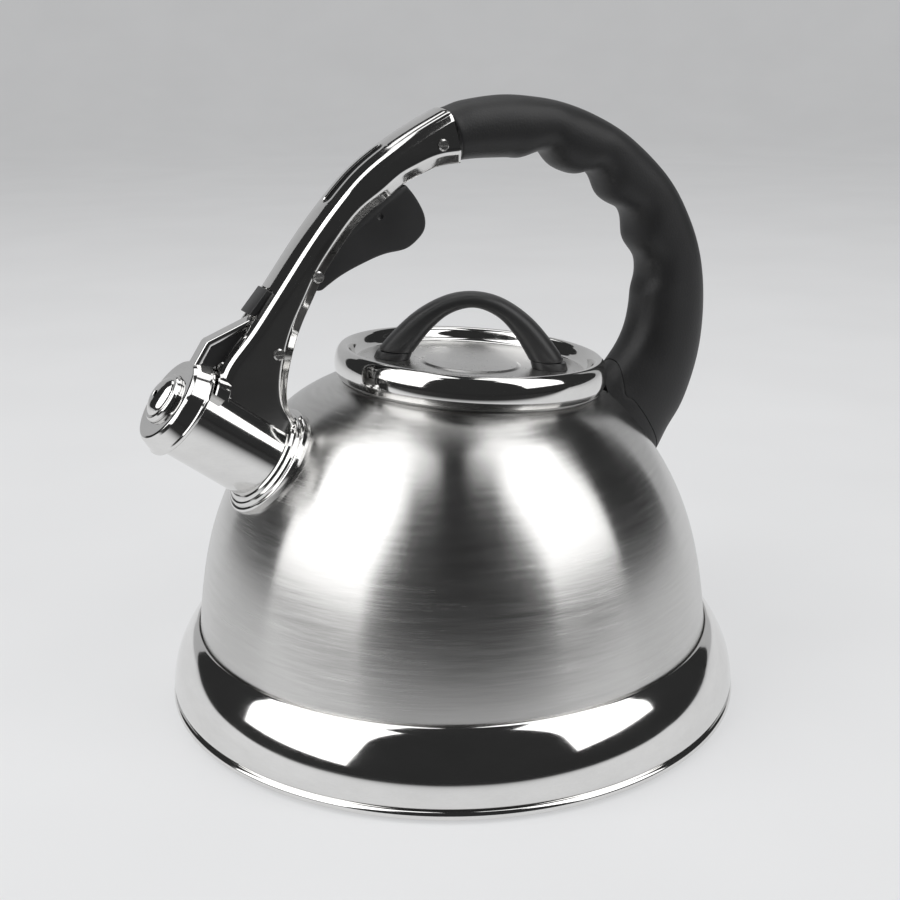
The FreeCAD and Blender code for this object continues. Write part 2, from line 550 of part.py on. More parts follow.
ARCH_W = 30.5
holes = [Part.makeCylinder(1.6, 14, lidp(sg * ARCH_W, 0), N_L) for sg in (-1, 1)]
lid_plate = lid
for h in holes:
    lid_plate = lid_plate.cut(turned(h))
save("lid_shell", lid_plate)
plug = revolve([("L", [(45.2, -0.1), (50.0, -0.1), (50.0, -0.7), (45.2, -0.7), (45.2, -13.0),
                       (44.6, -13.6), (38.0, -13.6), (38.0, -13.0), (44.0, -13.0), (44.6, -12.4),
                       (44.6, -0.1)])], LID_C, X_L, N_L)
save("lid_plug", plug)


def arch_wire(a, p_out, p_in, q):
    """Oval section of the lid handle between an outer and an inner point."""
    c = ((p_out[0] + p_in[0]) / 2, (p_out[1] + p_in[1]) / 2)
    h = ((p_out[0] - p_in[0]) / 2, (p_out[1] - p_in[1]) / 2)
    pts = []
    for j in range(16):
        u = 2 * math.pi * j / 16
        cu, su = math.cos(u), math.sin(u)
        pts.append(lidp(c[0] + h[0] * cu, c[1] + h[1] * cu, q * su))
    return pts


ARCH = [((-37.2, 6.6), (-23.8, 6.6), 6.2), ((-35.6, 9.6), (-22.3, 9.0), 6.3), ((-33.0, 13.4), (-20.4, 12.0), 6.4),
        ((-29.0, 18.2), (-17.8, 15.8), 6.4), ((-23.5, 23.8), (-14.6, 19.8), 6.3), ((-17.0, 28.6), (-10.6, 23.7), 6.1),
        ((-9.0, 32.4), (-5.6, 26.5), 5.9), ((0.0, 33.8), (0.0, 27.7), 5.8)]
sections = ARCH + [((-o[0], o[1]), (-i[0], i[1]), q) for o, i, q in ARCH[-2::-1]]
arch = turned(skin([arch_wire(0, *s) for s in sections]))
# seated on the dish floor; separate black ferrules make the lowest part of each foot
cut_low = turned(Part.makeBox(120, 60, 30, V(-60, -30, -30)).copy())
low = Part.makeBox(120, 60, 30, V(-60, -30, -30 + 9.0))
low.Placement = FreeCAD.Placement(LID_C, FreeCAD.Rotation(Y, LID_TILT)).multiply(low.Placement)
arch_top = arch.cut(low)


def ferrule(sg):
    ws = []
    for s, k in ((6.1, 1.03), (6.9, 1.06), (8.2, 1.06), (8.95, 1.02)):
        f = (s - 6.1) / 3.5
        o, i = -37.4 + 1.3 * f, -23.6 + 1.1 * f
        mid, hw = (o + i) / 2, (i - o) / 2 * k
        ws.append(arch_wire(0, (-sg * (mid - hw), s), (-sg * (mid + hw), s), 6.25 * k))
    return turned(skin(ws))


ferrules = [ferrule(1), ferrule(-1)]
for h in (Part.makeCylinder(1.6, 30, lidp(sg * ARCH_W, 0), N_L) for sg in (-1, 1)):
    ferrules = [f.cut(turned(h)) for f in ferrules]
for sg in (-1, 1):
    arch_top = arch_top.cut(turned(Part.makeCylinder(1.5, 14, lidp(sg * ARCH_W, 0), N_L)))
save("lid_handle", arch_top)
save("lid_handle_feet", Part.makeCompound(ferrules))
screws, washers = [], []
for sg in (-1, 1):
    c = lidp(sg * ARCH_W, 0)
    s = Part.makeCylinder(1.5, 9.9, c + N_L * 4.1, N_L).fuse(Part.makeCylinder(3.0, 2.0, c + N_L * 2.2, N_L))
    s = s.cut(Part.makeBox(5.0, 0.9, 1.0, V(-2.5, -0.45, 0)).transformGeometry(
        FreeCAD.Placement(c + N_L * 2.2, FreeCAD.Rotation(Y, LID_TILT)).toMatrix()))
    screws.append(turned(s))
    w = Part.makeCylinder(4.5, 0.8, c + N_L * 4.5, N_L).cut(Part.makeCylinder(1.6, 4, c + N_L * 3.5, N_L))
    washers.append(turned(w))
for i, w in enumerate(washers):
    screws[i] = screws[i].cut(w)
save("lid_screws", Part.makeCompound(screws))
save("lid_washers", Part.makeCompound(washers))
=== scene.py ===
import json
import math

import bmesh
import bpy
import numpy as np
from mathutils import Matrix, Vector


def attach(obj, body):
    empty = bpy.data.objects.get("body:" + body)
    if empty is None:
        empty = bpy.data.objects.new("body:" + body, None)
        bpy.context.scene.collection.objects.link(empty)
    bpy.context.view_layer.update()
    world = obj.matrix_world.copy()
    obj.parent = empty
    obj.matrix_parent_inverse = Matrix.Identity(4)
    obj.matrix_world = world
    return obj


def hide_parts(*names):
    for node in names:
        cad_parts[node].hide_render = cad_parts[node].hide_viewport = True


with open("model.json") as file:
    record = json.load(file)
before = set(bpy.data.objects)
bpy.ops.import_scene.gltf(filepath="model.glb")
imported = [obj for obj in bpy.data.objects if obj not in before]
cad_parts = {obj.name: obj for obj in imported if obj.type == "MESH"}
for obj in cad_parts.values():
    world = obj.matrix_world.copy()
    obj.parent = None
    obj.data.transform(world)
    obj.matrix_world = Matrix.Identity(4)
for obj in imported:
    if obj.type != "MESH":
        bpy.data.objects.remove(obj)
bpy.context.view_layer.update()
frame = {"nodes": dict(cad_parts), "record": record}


# ------------------------------------------------------------------ camera
AZ, PITCH, ROLL = math.radians(26.53), math.radians(17.33), math.radians(-0.55)
fwd = Vector((math.sin(AZ) * math.cos(PITCH), math.cos(AZ) * math.cos(PITCH), -math.sin(PITCH)))
rt = Vector((math.cos(AZ), -math.sin(AZ), 0))
up = rt.cross(fwd)
rt2 = rt * math.cos(ROLL) + up * math.sin(ROLL)
up2 = up * math.cos(ROLL) - rt * math.sin(ROLL)
cam_data = bpy.data.cameras.new("camera")
cam_data.lens = 52.0
cam_data.sensor_width = 36.0
cam_data.clip_start = 0.01
cam_data.clip_end = 50
cam = bpy.data.objects.new("camera", cam_data)
bpy.context.scene.collection.objects.link(cam)
m = Matrix((rt2, up2, -fwd)).transposed().to_4x4()
m.translation = Vector((-0.21632, -0.43282, 0.24548))
cam.matrix_world = m
bpy.context.scene.camera = cam

# ------------------------------------------------------------------ frame numbers, mm
MM = 0.001
LID_TILT, LID_TURN, SPOUT_ELEV = math.radians(4.5), math.radians(-29.0), math.radians(38.0)
LID_C = Vector((8.55, 0, 122.2))
N_L = Vector((math.sin(LID_TILT), 0, math.cos(LID_TILT)))
X_L = Vector((math.cos(LID_TILT), 0, -math.sin(LID_TILT)))
SPOUT_C = Vector((-74.1, 0, 101.2))
E_S = Vector((-math.cos(SPOUT_ELEV), 0, math.sin(SPOUT_ELEV)))
U_S = Vector((math.sin(SPOUT_ELEV), 0, math.cos(SPOUT_ELEV)))
HINGE = Vector((-90.2, 0, 139.0))
TRIG = Vector((-56.0, 0, 168.6))
X, Y, Z = Vector((1, 0, 0)), Vector((0, 1, 0)), Vector((0, 0, 1))
GC = (23.75, 135.85)


# ------------------------------------------------------------------ curve helpers
def nat(x, y):
    """Natural cubic spline through the rows of y at x."""
    x, y = np.asarray(x, float), np.asarray(y, float)
    n, h = len(x), np.diff(x)
    a, b = np.zeros((n, n)), np.zeros_like(y)
    a[0, 0] = a[-1, -1] = 1
    for i in range(1, n - 1):
        a[i, i - 1], a[i, i], a[i, i + 1] = h[i - 1], 2 * (h[i - 1] + h[i]), h[i]
        b[i] = 6 * ((y[i + 1] - y[i]) / h[i] - (y[i] - y[i - 1]) / h[i - 1])
    s = np.linalg.solve(a, b)

    def f(t):
        t = np.atleast_1d(np.asarray(t, float))
        i = np.clip(np.searchsorted(x, t) - 1, 0, n - 2)
        p, q, k = ((x[i + 1] - t) / h[i])[:, None], ((t - x[i]) / h[i])[:, None], h[i][:, None]
        return p * y[i] + q * y[i + 1] + ((p ** 3 - p) * s[i] + (q ** 3 - q) * s[i + 1]) * k * k / 6

    return f


def curve(pts, n):
    """n points spaced evenly by chord along the smooth curve through pts."""
    p = np.asarray(pts, float)
    d = np.r_[0, np.cumsum(np.linalg.norm(np.diff(p, axis=0), axis=1))]
    return nat(d, p)(np.linspace(0, d[-1], n))


def curve_f(pts):
    p = np.asarray(pts, float)
    d = np.r_[0, np.cumsum(np.linalg.norm(np.diff(p, axis=0), axis=1))]
    f = nat(d, p)
    return lambda t: f(np.asarray(t) * d[-1]), d[-1]


def rounded(pts, closed=True, k=6):
    """Polyline with its corners rounded: each point is (a, b) or (a, b, radius)."""
    out, n = [], len(pts)
    for i, p in enumerate(pts):
        r = p[2] if len(p) > 2 else 0
        if r <= 0 or (not closed and i in (0, n - 1)):
            out.append((p[0], p[1]))
            continue
        c = Vector((p[0], p[1]))
        a = Vector(pts[i - 1][:2]) - c
        b = Vector(pts[(i + 1) % n][:2]) - c
        la, lb = a.length, b.length
        a, b = a / la, b / lb
        ang = math.acos(max(-1, min(1, a.dot(b))))
        if ang > math.pi - 0.02:
            out.append((p[0], p[1]))
            continue
        d = min(r / math.tan(ang / 2), 0.48 * la, 0.48 * lb)
        rr = d * math.tan(ang / 2)
        mid = (a + b).normalized()
        o = c + mid * (rr / math.sin(ang / 2))
        s, e = c + a * d - o, c + b * d - o
        t0 = math.atan2(s.y, s.x)
        t1 = math.atan2(e.y, e.x)
        dt = (t1 - t0 + math.pi) % (2 * math.pi) - math.pi
        for j in range(k + 1):
            t = t0 + dt * j / k
            out.append((o.x + rr * math.cos(t), o.y + rr * math.sin(t)))
    return out


def side(pts, d):
    """The polyline moved sideways by d (left of travel is positive)."""
    p = np.asarray(pts, float)
    t = np.gradient(p, axis=0)
    t /= np.linalg.norm(t, axis=1)[:, None]
    return p + np.stack([-t[:, 1], t[:, 0]], 1) * d


# ------------------------------------------------------------------ mesh helpers
def make(name, verts, faces, body, sharp=38.0, flip=None):
    """Object from points in mm; doubled points merge, normals face out."""
    bm = bmesh.new()
    vs = [bm.verts.new(Vector(v) * MM) for v in verts]
    for f in faces:
        try:
            bm.faces.new([vs[i] for i in f])
        except ValueError:
            pass
    bmesh.ops.remove_doubles(bm, verts=bm.verts, dist=2e-6)
    bmesh.ops.dissolve_degenerate(bm, edges=bm.edges, dist=1e-7)
    loose = [v for v in bm.verts if not v.link_faces]
    bmesh.ops.delete(bm, geom=loose, context="VERTS")
    bmesh.ops.recalc_face_normals(bm, faces=bm.faces)
    if flip:
        bmesh.ops.reverse_faces(bm, faces=bm.faces)
    me = bpy.data.meshes.new(name)
    bm.to_mesh(me)
    bm.free()
    ob = bpy.data.objects.new(name, me)
    bpy.context.scene.collection.objects.link(ob)
    smooth(ob, sharp)
    ob["want_body"] = body
    return ob


def smooth(ob, angle=38.0):
    ob.data.shade_smooth()
    ob.data.set_sharp_from_angle(angle=math.radians(angle))


def apply(ob):
    """Bakes the modifiers into the mesh."""
    dg = bpy.context.evaluated_depsgraph_get()
    ev = ob.evaluated_get(dg)
    me = bpy.data.meshes.new_from_object(ev)
    ob.modifiers.clear()
    old = ob.data
    ob.data = me
    me.name = ob.name
    bpy.data.meshes.remove(old)
    return ob


def bevel(ob, width, segments=3, angle=30.0, sharp=60.0):
    b = ob.modifiers.new("bevel", "BEVEL")
    b.width = width * MM
    b.segments = segments
    b.limit_method = "ANGLE"
    b.angle_limit = math.radians(angle)
    b.use_clamp_overlap = True
    b.harden_normals = False
    apply(ob)
    smooth(ob, sharp)
    return ob


def cut(ob, tool, sharp=38.0):
    """Takes tool out of ob, then drops tool."""
    b = ob.modifiers.new("cut", "BOOLEAN")
    b.operation = "DIFFERENCE"
    b.solver = "EXACT"
    b.object = tool
    apply(ob)
    me = tool.data
    bpy.data.objects.remove(tool)
    bpy.data.meshes.remove(me)
    smooth(ob, sharp)
    return ob


def grid(rows, ring=True, cap0=False, cap1=False):
    """Verts and faces over equal rows of points."""
    n = len(rows[0])
    verts = [p for r in rows for p in r]
    faces = []
    for i in range(len(rows) - 1):
        for j in range(n if ring else n - 1):
            k = (j + 1) % n
            faces.append((i * n + j, i * n + k, (i + 1) * n + k, (i + 1) * n + j))
    if cap0:
        faces.append(tuple(range(n))[::-1])
    if cap1:
        faces.append(tuple((len(rows) - 1) * n + j for j in range(n)))
    return verts, faces


def lathe(name, prof, body, o=Vector((0, 0, 0)), ux=X, ax=Z, n=160, closed=True, sharp=38.0):
    """Solid of revolution over (radius, height) points in mm about ax through o."""
    uy = ax.cross(ux)
    rows = []
    for r, t in prof:
        c = o + ax * t
        rows.append([c + ux * (r * math.cos(2 * math.pi * j / n)) + uy * (r * math.sin(2 * math.pi * j / n))
                     for j in range(n)])
    if closed:
        rows.append(rows[0])
    v, f = grid(rows)
    return make(name, v, f, body, sharp)


def prism(name, outline, half, body, sharp=38.0, crown=0.0, y0=None):
    """Solid over an XZ outline, between -half and half (or y0 and half)."""
    lo = -half if y0 is None else y0
    rows = [[(p[0], lo, p[1]) for p in outline], [(p[0], half, p[1]) for p in outline]]
    v, f = grid(rows, True, True, True)
    return make(name, v, f, body, sharp)


def xyz(a, b, y=0.0):
    return Vector((a, y, b))


def stp(t, r, y=0.0):
    return SPOUT_C + E_S * t + U_S * r + Y * y


# ------------------------------------------------------------------ materials
def nodes_of(name):
    mt = bpy.data.materials.new(name)
    mt.use_nodes = True
    nt = mt.node_tree
    bs = next(x for x in nt.nodes if x.type == "BSDF_PRINCIPLED")
    return mt, nt, bs


def node(nt, kind, **kw):
    x = nt.nodes.new(kind)
    for k, v in kw.items():
        setattr(x, k, v)
    return x


def scaled(nt, vec, s):
    mp = node(nt, "ShaderNodeMapping")
    mp.inputs["Scale"].default_value = s
    nt.links.new(vec, mp.inputs["Vector"])
    return mp.outputs["Vector"]


def noise(nt, vec, scale, detail=4.0, rough=0.55):
    x = node(nt, "ShaderNodeTexNoise")
    x.inputs["Scale"].default_value = scale
    x.inputs["Detail"].default_value = detail
    x.inputs["Roughness"].default_value = rough
    nt.links.new(vec, x.inputs["Vector"])
    return x.outputs["Fac"]


def ramp(nt, fac, lo, hi, a, b):
    x = node(nt, "ShaderNodeMapRange")
    x.inputs["From Min"].default_value = lo
    x.inputs["From Max"].default_value = hi
    x.inputs["To Min"].default_value = a
    x.inputs["To Max"].default_value = b
    nt.links.new(fac, x.inputs["Value"])
    return x.outputs["Result"]


def colours(nt, fac, c0, c1, lo=0.3, hi=0.7):
    x = node(nt, "ShaderNodeValToRGB")
    x.color_ramp.elements[0].position = lo
    x.color_ramp.elements[1].position = hi
    x.color_ramp.elements[0].color = (*c0, 1)
    x.color_ramp.elements[1].color = (*c1, 1)
    nt.links.new(fac, x.inputs["Fac"])
    return x.outputs["Color"]


def bump(nt, bs, height, strength, dist):
    x = node(nt, "ShaderNodeBump")
    x.inputs["Strength"].default_value = strength
    x.inputs["Distance"].default_value = dist
    nt.links.new(height, x.inputs["Height"])
    nt.links.new(x.outputs["Normal"], bs.inputs["Normal"])
    return x


def math2(nt, op, a, b):
    x = node(nt, "ShaderNodeMath", operation=op)
    for i, v in enumerate((a, b)):
        if isinstance(v, (int, float)):
            x.inputs[i].default_value = v
        else:
            nt.links.new(v, x.inputs[i])
    return x.outputs[0]


def brushed(name, c0, c1, r0, r1, lines, aniso, strength, axis=True):
    """Steel brushed round the upright axis: fine lines at each height, soft wear along them."""
    mt, nt, bs = nodes_of(name)
    bs.inputs["Metallic"].default_value = 1.0
    bs.inputs["Anisotropic"].default_value = aniso
    bs.inputs["Anisotropic Rotation"].default_value = 0.25
    co = node(nt, "ShaderNodeTexCoord").outputs["Object"]
    sp = node(nt, "ShaderNodeSeparateXYZ")
    nt.links.new(co, sp.inputs[0])
    ang = math2(nt, "ARCTAN2", sp.outputs["Y"], sp.outputs["X"])
    cb = node(nt, "ShaderNodeCombineXYZ")
    r2 = math2(nt, "SQRT", math2(nt, "ADD", math2(nt, "MULTIPLY", sp.outputs["X"], sp.outputs["X"]),
                                 math2(nt, "MULTIPLY", sp.outputs["Y"], sp.outputs["Y"])), 0.0)
    nt.links.new(math2(nt, "MULTIPLY", math2(nt, "SINE", ang, 0.0), 0.06), cb.inputs["X"])
    nt.links.new(math2(nt, "MULTIPLY", math2(nt, "COSINE", ang, 0.0), 0.06), cb.inputs["Y"])
    nt.links.new(math2(nt, "SUBTRACT", sp.outputs["Z"], r2), cb.inputs["Z"])
    fine = noise(nt, scaled(nt, cb.outputs[0], (1.0, 1.0, lines)), 90.0, 5.0, 0.6)
    coarse = noise(nt, scaled(nt, cb.outputs[0], (1.0, 1.0, lines * 0.12)), 60.0, 3.0, 0.5)
    smudge = noise(nt, co, 22.0, 3.0, 0.5)
    mixed = math2(nt, "ADD", math2(nt, "MULTIPLY", fine, 0.65), math2(nt, "MULTIPLY", coarse, 0.35))
    nt.links.new(colours(nt, mixed, c0, c1, 0.38, 0.62), bs.inputs["Base Color"])
    rr = math2(nt, "ADD", ramp(nt, mixed, 0.35, 0.65, r0, r1), ramp(nt, smudge, 0.3, 0.7, -0.02, 0.02))
    nt.links.new(rr, bs.inputs["Roughness"])
    bump(nt, bs, mixed, strength, 0.00003)
    if axis:
        tg = node(nt, "ShaderNodeTangent", direction_type="RADIAL", axis="Z")
        nt.links.new(tg.outputs[0], bs.inputs["Tangent"])
    return mt


def polished(name, c0, c1, r0, r1, wave=0.0):
    """Polished steel: faint wiping marks in the gloss, and a trace of waviness in the sheet."""
    mt, nt, bs = nodes_of(name)
    bs.inputs["Metallic"].default_value = 1.0
    co = node(nt, "ShaderNodeTexCoord").outputs["Object"]
    wipe = noise(nt, scaled(nt, co, (30, 30, 80)), 1.6, 5.0, 0.65)
    hair = noise(nt, scaled(nt, co, (220, 60, 900)), 3.0, 3.0, 0.6)
    both = math2(nt, "ADD", math2(nt, "MULTIPLY", wipe, 0.7), math2(nt, "MULTIPLY", hair, 0.3))
    nt.links.new(colours(nt, both, c0, c1), bs.inputs["Base Color"])
    nt.links.new(ramp(nt, both, 0.3, 0.7, r0, r1), bs.inputs["Roughness"])
    sheet = noise(nt, co, 45.0, 1.0, 0.4)
    h = math2(nt, "ADD", math2(nt, "MULTIPLY", sheet, 1.0), math2(nt, "MULTIPLY", hair, 0.004))
    bump(nt, bs, h, 1.0, wave)
    return mt


def moulded(name, c0, c1, r0, r1, grain, depth, coat=0.0, spec=0.5):
    """Moulded plastic: spark-eroded grain, uneven sheen, slight handling wear."""
    mt, nt, bs = nodes_of(name)
    bs.inputs["Specular IOR Level"].default_value = spec
    bs.inputs["Coat Weight"].default_value = coat
    bs.inputs["Coat Roughness"].default_value = 0.35
    co = node(nt, "ShaderNodeTexCoord").outputs["Object"]
    g = noise(nt, co, grain, 3.0, 0.7)
    vo = node(nt, "ShaderNodeTexVoronoi")
    vo.inputs["Scale"].default_value = grain * 0.8
    nt.links.new(co, vo.inputs["Vector"])
    soft = noise(nt, co, 35.0, 3.0, 0.5)
    nt.links.new(colours(nt, soft, c0, c1), bs.inputs["Base Color"])
    nt.links.new(ramp(nt, soft, 0.3, 0.7, r0, r1), bs.inputs["Roughness"])
    h = math2(nt, "ADD", math2(nt, "MULTIPLY", g, 0.6), math2(nt, "MULTIPLY", vo.outputs["Distance"], 0.4))
    bump(nt, bs, h, 0.8, depth)
    return mt


MAT = {
    "brushed_steel": brushed("brushed_steel", (0.585, 0.58, 0.57), (0.685, 0.68, 0.67), 0.21, 0.27, 55.0, 0.95, 0.10),
    "polished_steel": polished("polished_steel", (0.72, 0.715, 0.705), (0.80, 0.795, 0.785), 0.045, 0.10, 0.00005),
    "satin_steel": brushed("satin_steel", (0.42, 0.415, 0.405), (0.56, 0.555, 0.545), 0.26, 0.40, 24.0, 0.3, 0.3),
    "screw_steel": polished("screw_steel", (0.50, 0.495, 0.485), (0.60, 0.595, 0.585), 0.18, 0.30, 0.00001),
    "aluminium": brushed("aluminium", (0.55, 0.55, 0.56), (0.68, 0.68, 0.69), 0.35, 0.5, 12.0, 0.2, 0.3),
    "black_plastic": moulded("black_plastic", (0.022, 0.022, 0.0225), (0.031, 0.031, 0.032), 0.34, 0.44, 2600.0, 0.00002, 0.0, 0.5),
    "grip_plastic": moulded("grip_plastic", (0.0135, 0.0135, 0.014), (0.020, 0.020, 0.021), 0.44, 0.54, 1500.0, 0.00010, 0.0, 0.5),
}

# painted highlight: the arch's black plastic is made lighter than the grip's, standing in for the soft highlight
# along its top
ARCH_LIGHTENED_FOR_HIGHLIGHT = moulded("arch_plastic", (0.028, 0.028, 0.0285), (0.040, 0.040, 0.041), 0.36, 0.46, 1700.0, 0.00006, 0.0, 0.5)
DISH = brushed("dish_steel", (0.66, 0.655, 0.645), (0.72, 0.715, 0.705), 0.26, 0.34, 26.0, 0.2, 0.10)
INLAY = moulded("inlay_black", (0.002, 0.002, 0.002), (0.004, 0.004, 0.0042), 0.5, 0.6, 2600.0, 0.00002, 0.0, 0.12)
PIECES = []


def piece(ob, body, slot, *replaced):
    ob.data.materials.clear()
    ob.data.materials.append(MAT[slot])
    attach(ob, body)
    if replaced:
        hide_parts(*replaced)
    PIECES.append(ob)
    return ob


# ------------------------------------------------------------------ dome
DOME = [(28.0, 100.35), (35.0, 99.56), (41.0, 98.77), (47.0, 97.85), (52.25, 96.9), (58.0, 95.67), (63.2, 94.33),
        (69.0, 92.57), (74.1, 90.72), (79.0, 88.68), (83.6, 86.48), (88.5, 83.83), (93.1, 81.03), (97.5, 78.05),
        (101.5, 75.03), (105.5, 71.65), (109.25, 68.11)]
neck = LID_C + N_L * (-1.6)
rings = [(0, z, r, 0) for z, r in DOME] + [(0.9, 112.6, 64.6, 0.7), (3.3, 115.7, 60.4, 2.1), (5.9, 118.4, 55.4, 3.4),
                                          (neck.x, neck.z, 50.0, 4.5)]
ring_f, _ = curve_f([(c, z, r * 1.0, t) for c, z, r, t in rings])


def dome_ring(c, z, r, tilt, n=200):
    a = math.radians(tilt)
    ux = Vector((math.cos(a), 0, -math.sin(a)))
    return [Vector((c, 0, z)) + ux * (r * math.cos(2 * math.pi * j / n)) + Y * (r * math.sin(2 * math.pi * j / n))
            for j in range(n)]


rows = [dome_ring(*q) for q in ring_f(np.linspace(0, 1, 90))]
for r, s in ((49.86, -1.42), (49.6, -1.36), (49.35, -1.45)):
    q = LID_C + N_L * s
    rows.append(dome_ring(q.x, q.z, r, 4.5))
v, f = grid(rows)
dome = make("dome_skin", v, f, "body", 60)
bm = bmesh.new()
bm.from_mesh(dome.data)
HOLE = 14.5


def spout_r(co):
    d = co / MM - SPOUT_C
    t = d.dot(E_S)
    return (d - E_S * t), t


gone = []
for fc in bm.faces:
    if any(spout_r(w.co)[0].length < HOLE + 0.4 and spout_r(w.co)[1] > -40 for w in fc.verts):
        gone.append(fc)
bmesh.ops.delete(bm, geom=gone, context="FACES")
for e in bm.edges:
    if len(e.link_faces) == 1:
        for w in e.verts:
            rad, t = spout_r(w.co)
            if rad.length < 21 and t > -40:
                w.co = (w.co / MM - rad + rad.normalized() * HOLE) * MM
bm.to_mesh(dome.data)
bm.free()
s = dome.modifiers.new("sheet", "SOLIDIFY")
s.thickness = 0.7 * MM
s.offset = -1
apply(dome)
smooth(dome, 50)
piece(dome, "body", "brushed_steel", "dome_shell")

# ------------------------------------------------------------------ skirt with its rolled bead
SK = curve([(101.2, 30.0), (102.9, 28.4), (105.9, 24.2), (108.6, 19.0), (110.4, 14.0), (111.3, 9.5), (111.5, 6.4),
            (110.75, 4.5)], 60)
bead = [(110.2 + 1.9 * math.cos(math.radians(a)), 2.7 + 1.9 * math.sin(math.radians(a)))
        for a in np.linspace(66, -215, 40)]
inner = side(SK, -0.7)[::-1]
prof = [(100.45, 29.3), (100.5, 29.75), (100.75, 30.02), (101.0, 30.06)] + [tuple(p) for p in SK] + bead \
    + [tuple(p) for p in inner if p[1] > 4.6]
piece(lathe("skirt_ring", prof, "body", n=256, sharp=42), "body", "polished_steel", "base_skirt")

# underside plate: a shallow pan with a pressed ring and a rounded rim
under = rounded([(0, 0.35), (30, 0.35, 4), (31.2, 0.0, 1.2), (98, 0.0, 1), (99.5, 0.3, 1), (108.0, 0.3, 0.5),
                 (109.0, 0.45, 0.3), (109.0, 0.75), (104.9, 0.75), (104.9, 1.3), (0, 1.3)], closed=False)
piece(lathe("underside_plate", under, "body", n=200, sharp=50), "body", "satin_steel", "base_cover")

# ------------------------------------------------------------------ lid
LO = [(51.0, 0.0), (52.0, 2.2), (52.35, 5.0), (51.9, 8.2), (50.9, 10.4), (49.3, 11.5), (47.6, 11.0), (46.5, 9.6),
      (45.6, 7.7), (44.3, 6.5), (42.4, 6.1)]
outer = [tuple(p) for p in curve(LO, 64)] + rounded([(40.0, 6.1), (19.4, 6.1, 1.2), (18.2, 6.8, 0.8), (3, 6.8),
                                                     (0, 6.8)], closed=False)
inn = [tuple(p) for p in side(curve(LO, 64), 0.7)][::-1]
lid_prof = outer + [(0, 6.1), (18.0, 6.05), (19.2, 5.4), (42.0, 5.4)] + [p for p in inn if p[0] > 42.2]
dish = piece(lathe("lid_ring_dish", lid_prof, "lid", LID_C, X_L, N_L, 220, sharp=40), "lid", "polished_steel", "lid_shell")
# the recessed dish is satin, the ring around it is mirror polished
dish.data.materials.append(DISH)
for fc in dish.data.polygons:
    rel = fc.center / MM - LID_C
    if (rel - N_L * rel.dot(N_L)).length < 43.6:
        fc.material_index = 1

plug = rounded([(45.2, 0.0), (50.6, 0.0, 0.3), (50.6, -0.7, 0.3), (45.2, -0.7, 0.5), (45.2, -13.0, 0.8),
                (44.4, -13.6, 0.5), (38.0, -13.6, 0.25), (38.0, -13.0, 0.25), (43.9, -13.0, 0.4), (44.6, -12.4, 0.4),
                (44.6, 0.0)])
piece(lathe("lid_plug_ring", plug, "lid", LID_C, X_L, N_L, 160), "lid", "satin_steel", "lid_plug")


def lidp(u, s, v=0.0):
    """Lid point, turned with the loose lid."""
    c, n_ = math.cos(LID_TURN), math.sin(LID_TURN)
    return LID_C + N_L * s + X_L * (u * c - v * n_) + Y * (u * n_ + v * c)


AR = [((-37.2, 6.6), (-23.8, 6.6), 6.2), ((-35.6, 9.6), (-22.3, 9.0), 6.3), ((-33.0, 13.4), (-20.4, 12.0), 6.4),
      ((-29.0, 18.2), (-17.8, 15.8), 6.4), ((-23.5, 23.8), (-14.6, 19.8), 6.3), ((-17.0, 28.6), (-10.6, 23.7), 6.1),
      ((-9.0, 32.4), (-5.6, 26.5), 5.9), ((0.0, 33.8), (0.0, 27.7), 5.8)]
full = AR + [((-o[0], o[1]), (-i[0], i[1]), q) for o, i, q in AR[-2::-1]]
arch_f, _ = curve_f([(*o, *i, q) for o, i, q in full])
rows = []
for ox, oz, ix, iz, q in arch_f(np.linspace(0.028, 0.972, 110)):
    c, h = ((ox + ix) / 2, (oz + iz) / 2), ((ox - ix) / 2, (oz - iz) / 2)
    rg = []
    for j in range(48):
        t = 2 * math.pi * j / 48
        cu, su = math.cos(t), math.sin(t)
        e = 2 / 2.25
        a, b = math.copysign(abs(cu) ** e, cu), math.copysign(abs(su) ** e, su)
        rg.append((c[0] + h[0] * a, c[1] + h[1] * a, q * b))
    rows.append(rg)


def shrink(rg, k, ds):
    cx, cz = np.mean([p[0] for p in rg]), np.mean([p[1] for p in rg])
    return [(cx + (p[0] - cx) * k, cz + (p[1] - cz) * k + ds, p[2] * k) for p in rg]


# flat ends just above the ferrules, with a small rounded edge
def floor_to(rg, s):
    return [(p[0], s, p[2]) for p in rg]


def arch_rows(rows):
    keep = []
    for rg in rows:
        keep.append([(p[0], max(p[1], 9.15), p[2]) for p in rg])
    return keep


rows = arch_rows(rows)
rows = [rg for rg in rows if max(p[1] for p in rg) > 9.6]
first, last = floor_to(rows[0], 9.15), floor_to(rows[-1], 9.15)
rows = [shrink(first, 0.955, 0.0), shrink(first, 0.985, 0.12)] + rows + [shrink(last, 0.985, 0.12), shrink(last, 0.955, 0.0)]
verts = [[lidp(*p) for p in rg] for rg in rows]
v, f = grid(verts, True, True, True)
arch = piece(make("lid_arch", v, f, "lid", 50), "lid", "grip_plastic", "lid_handle")
# painted highlight: the arch gets the lightened black plastic
arch.data.materials[0] = ARCH_LIGHTENED_FOR_HIGHLIGHT

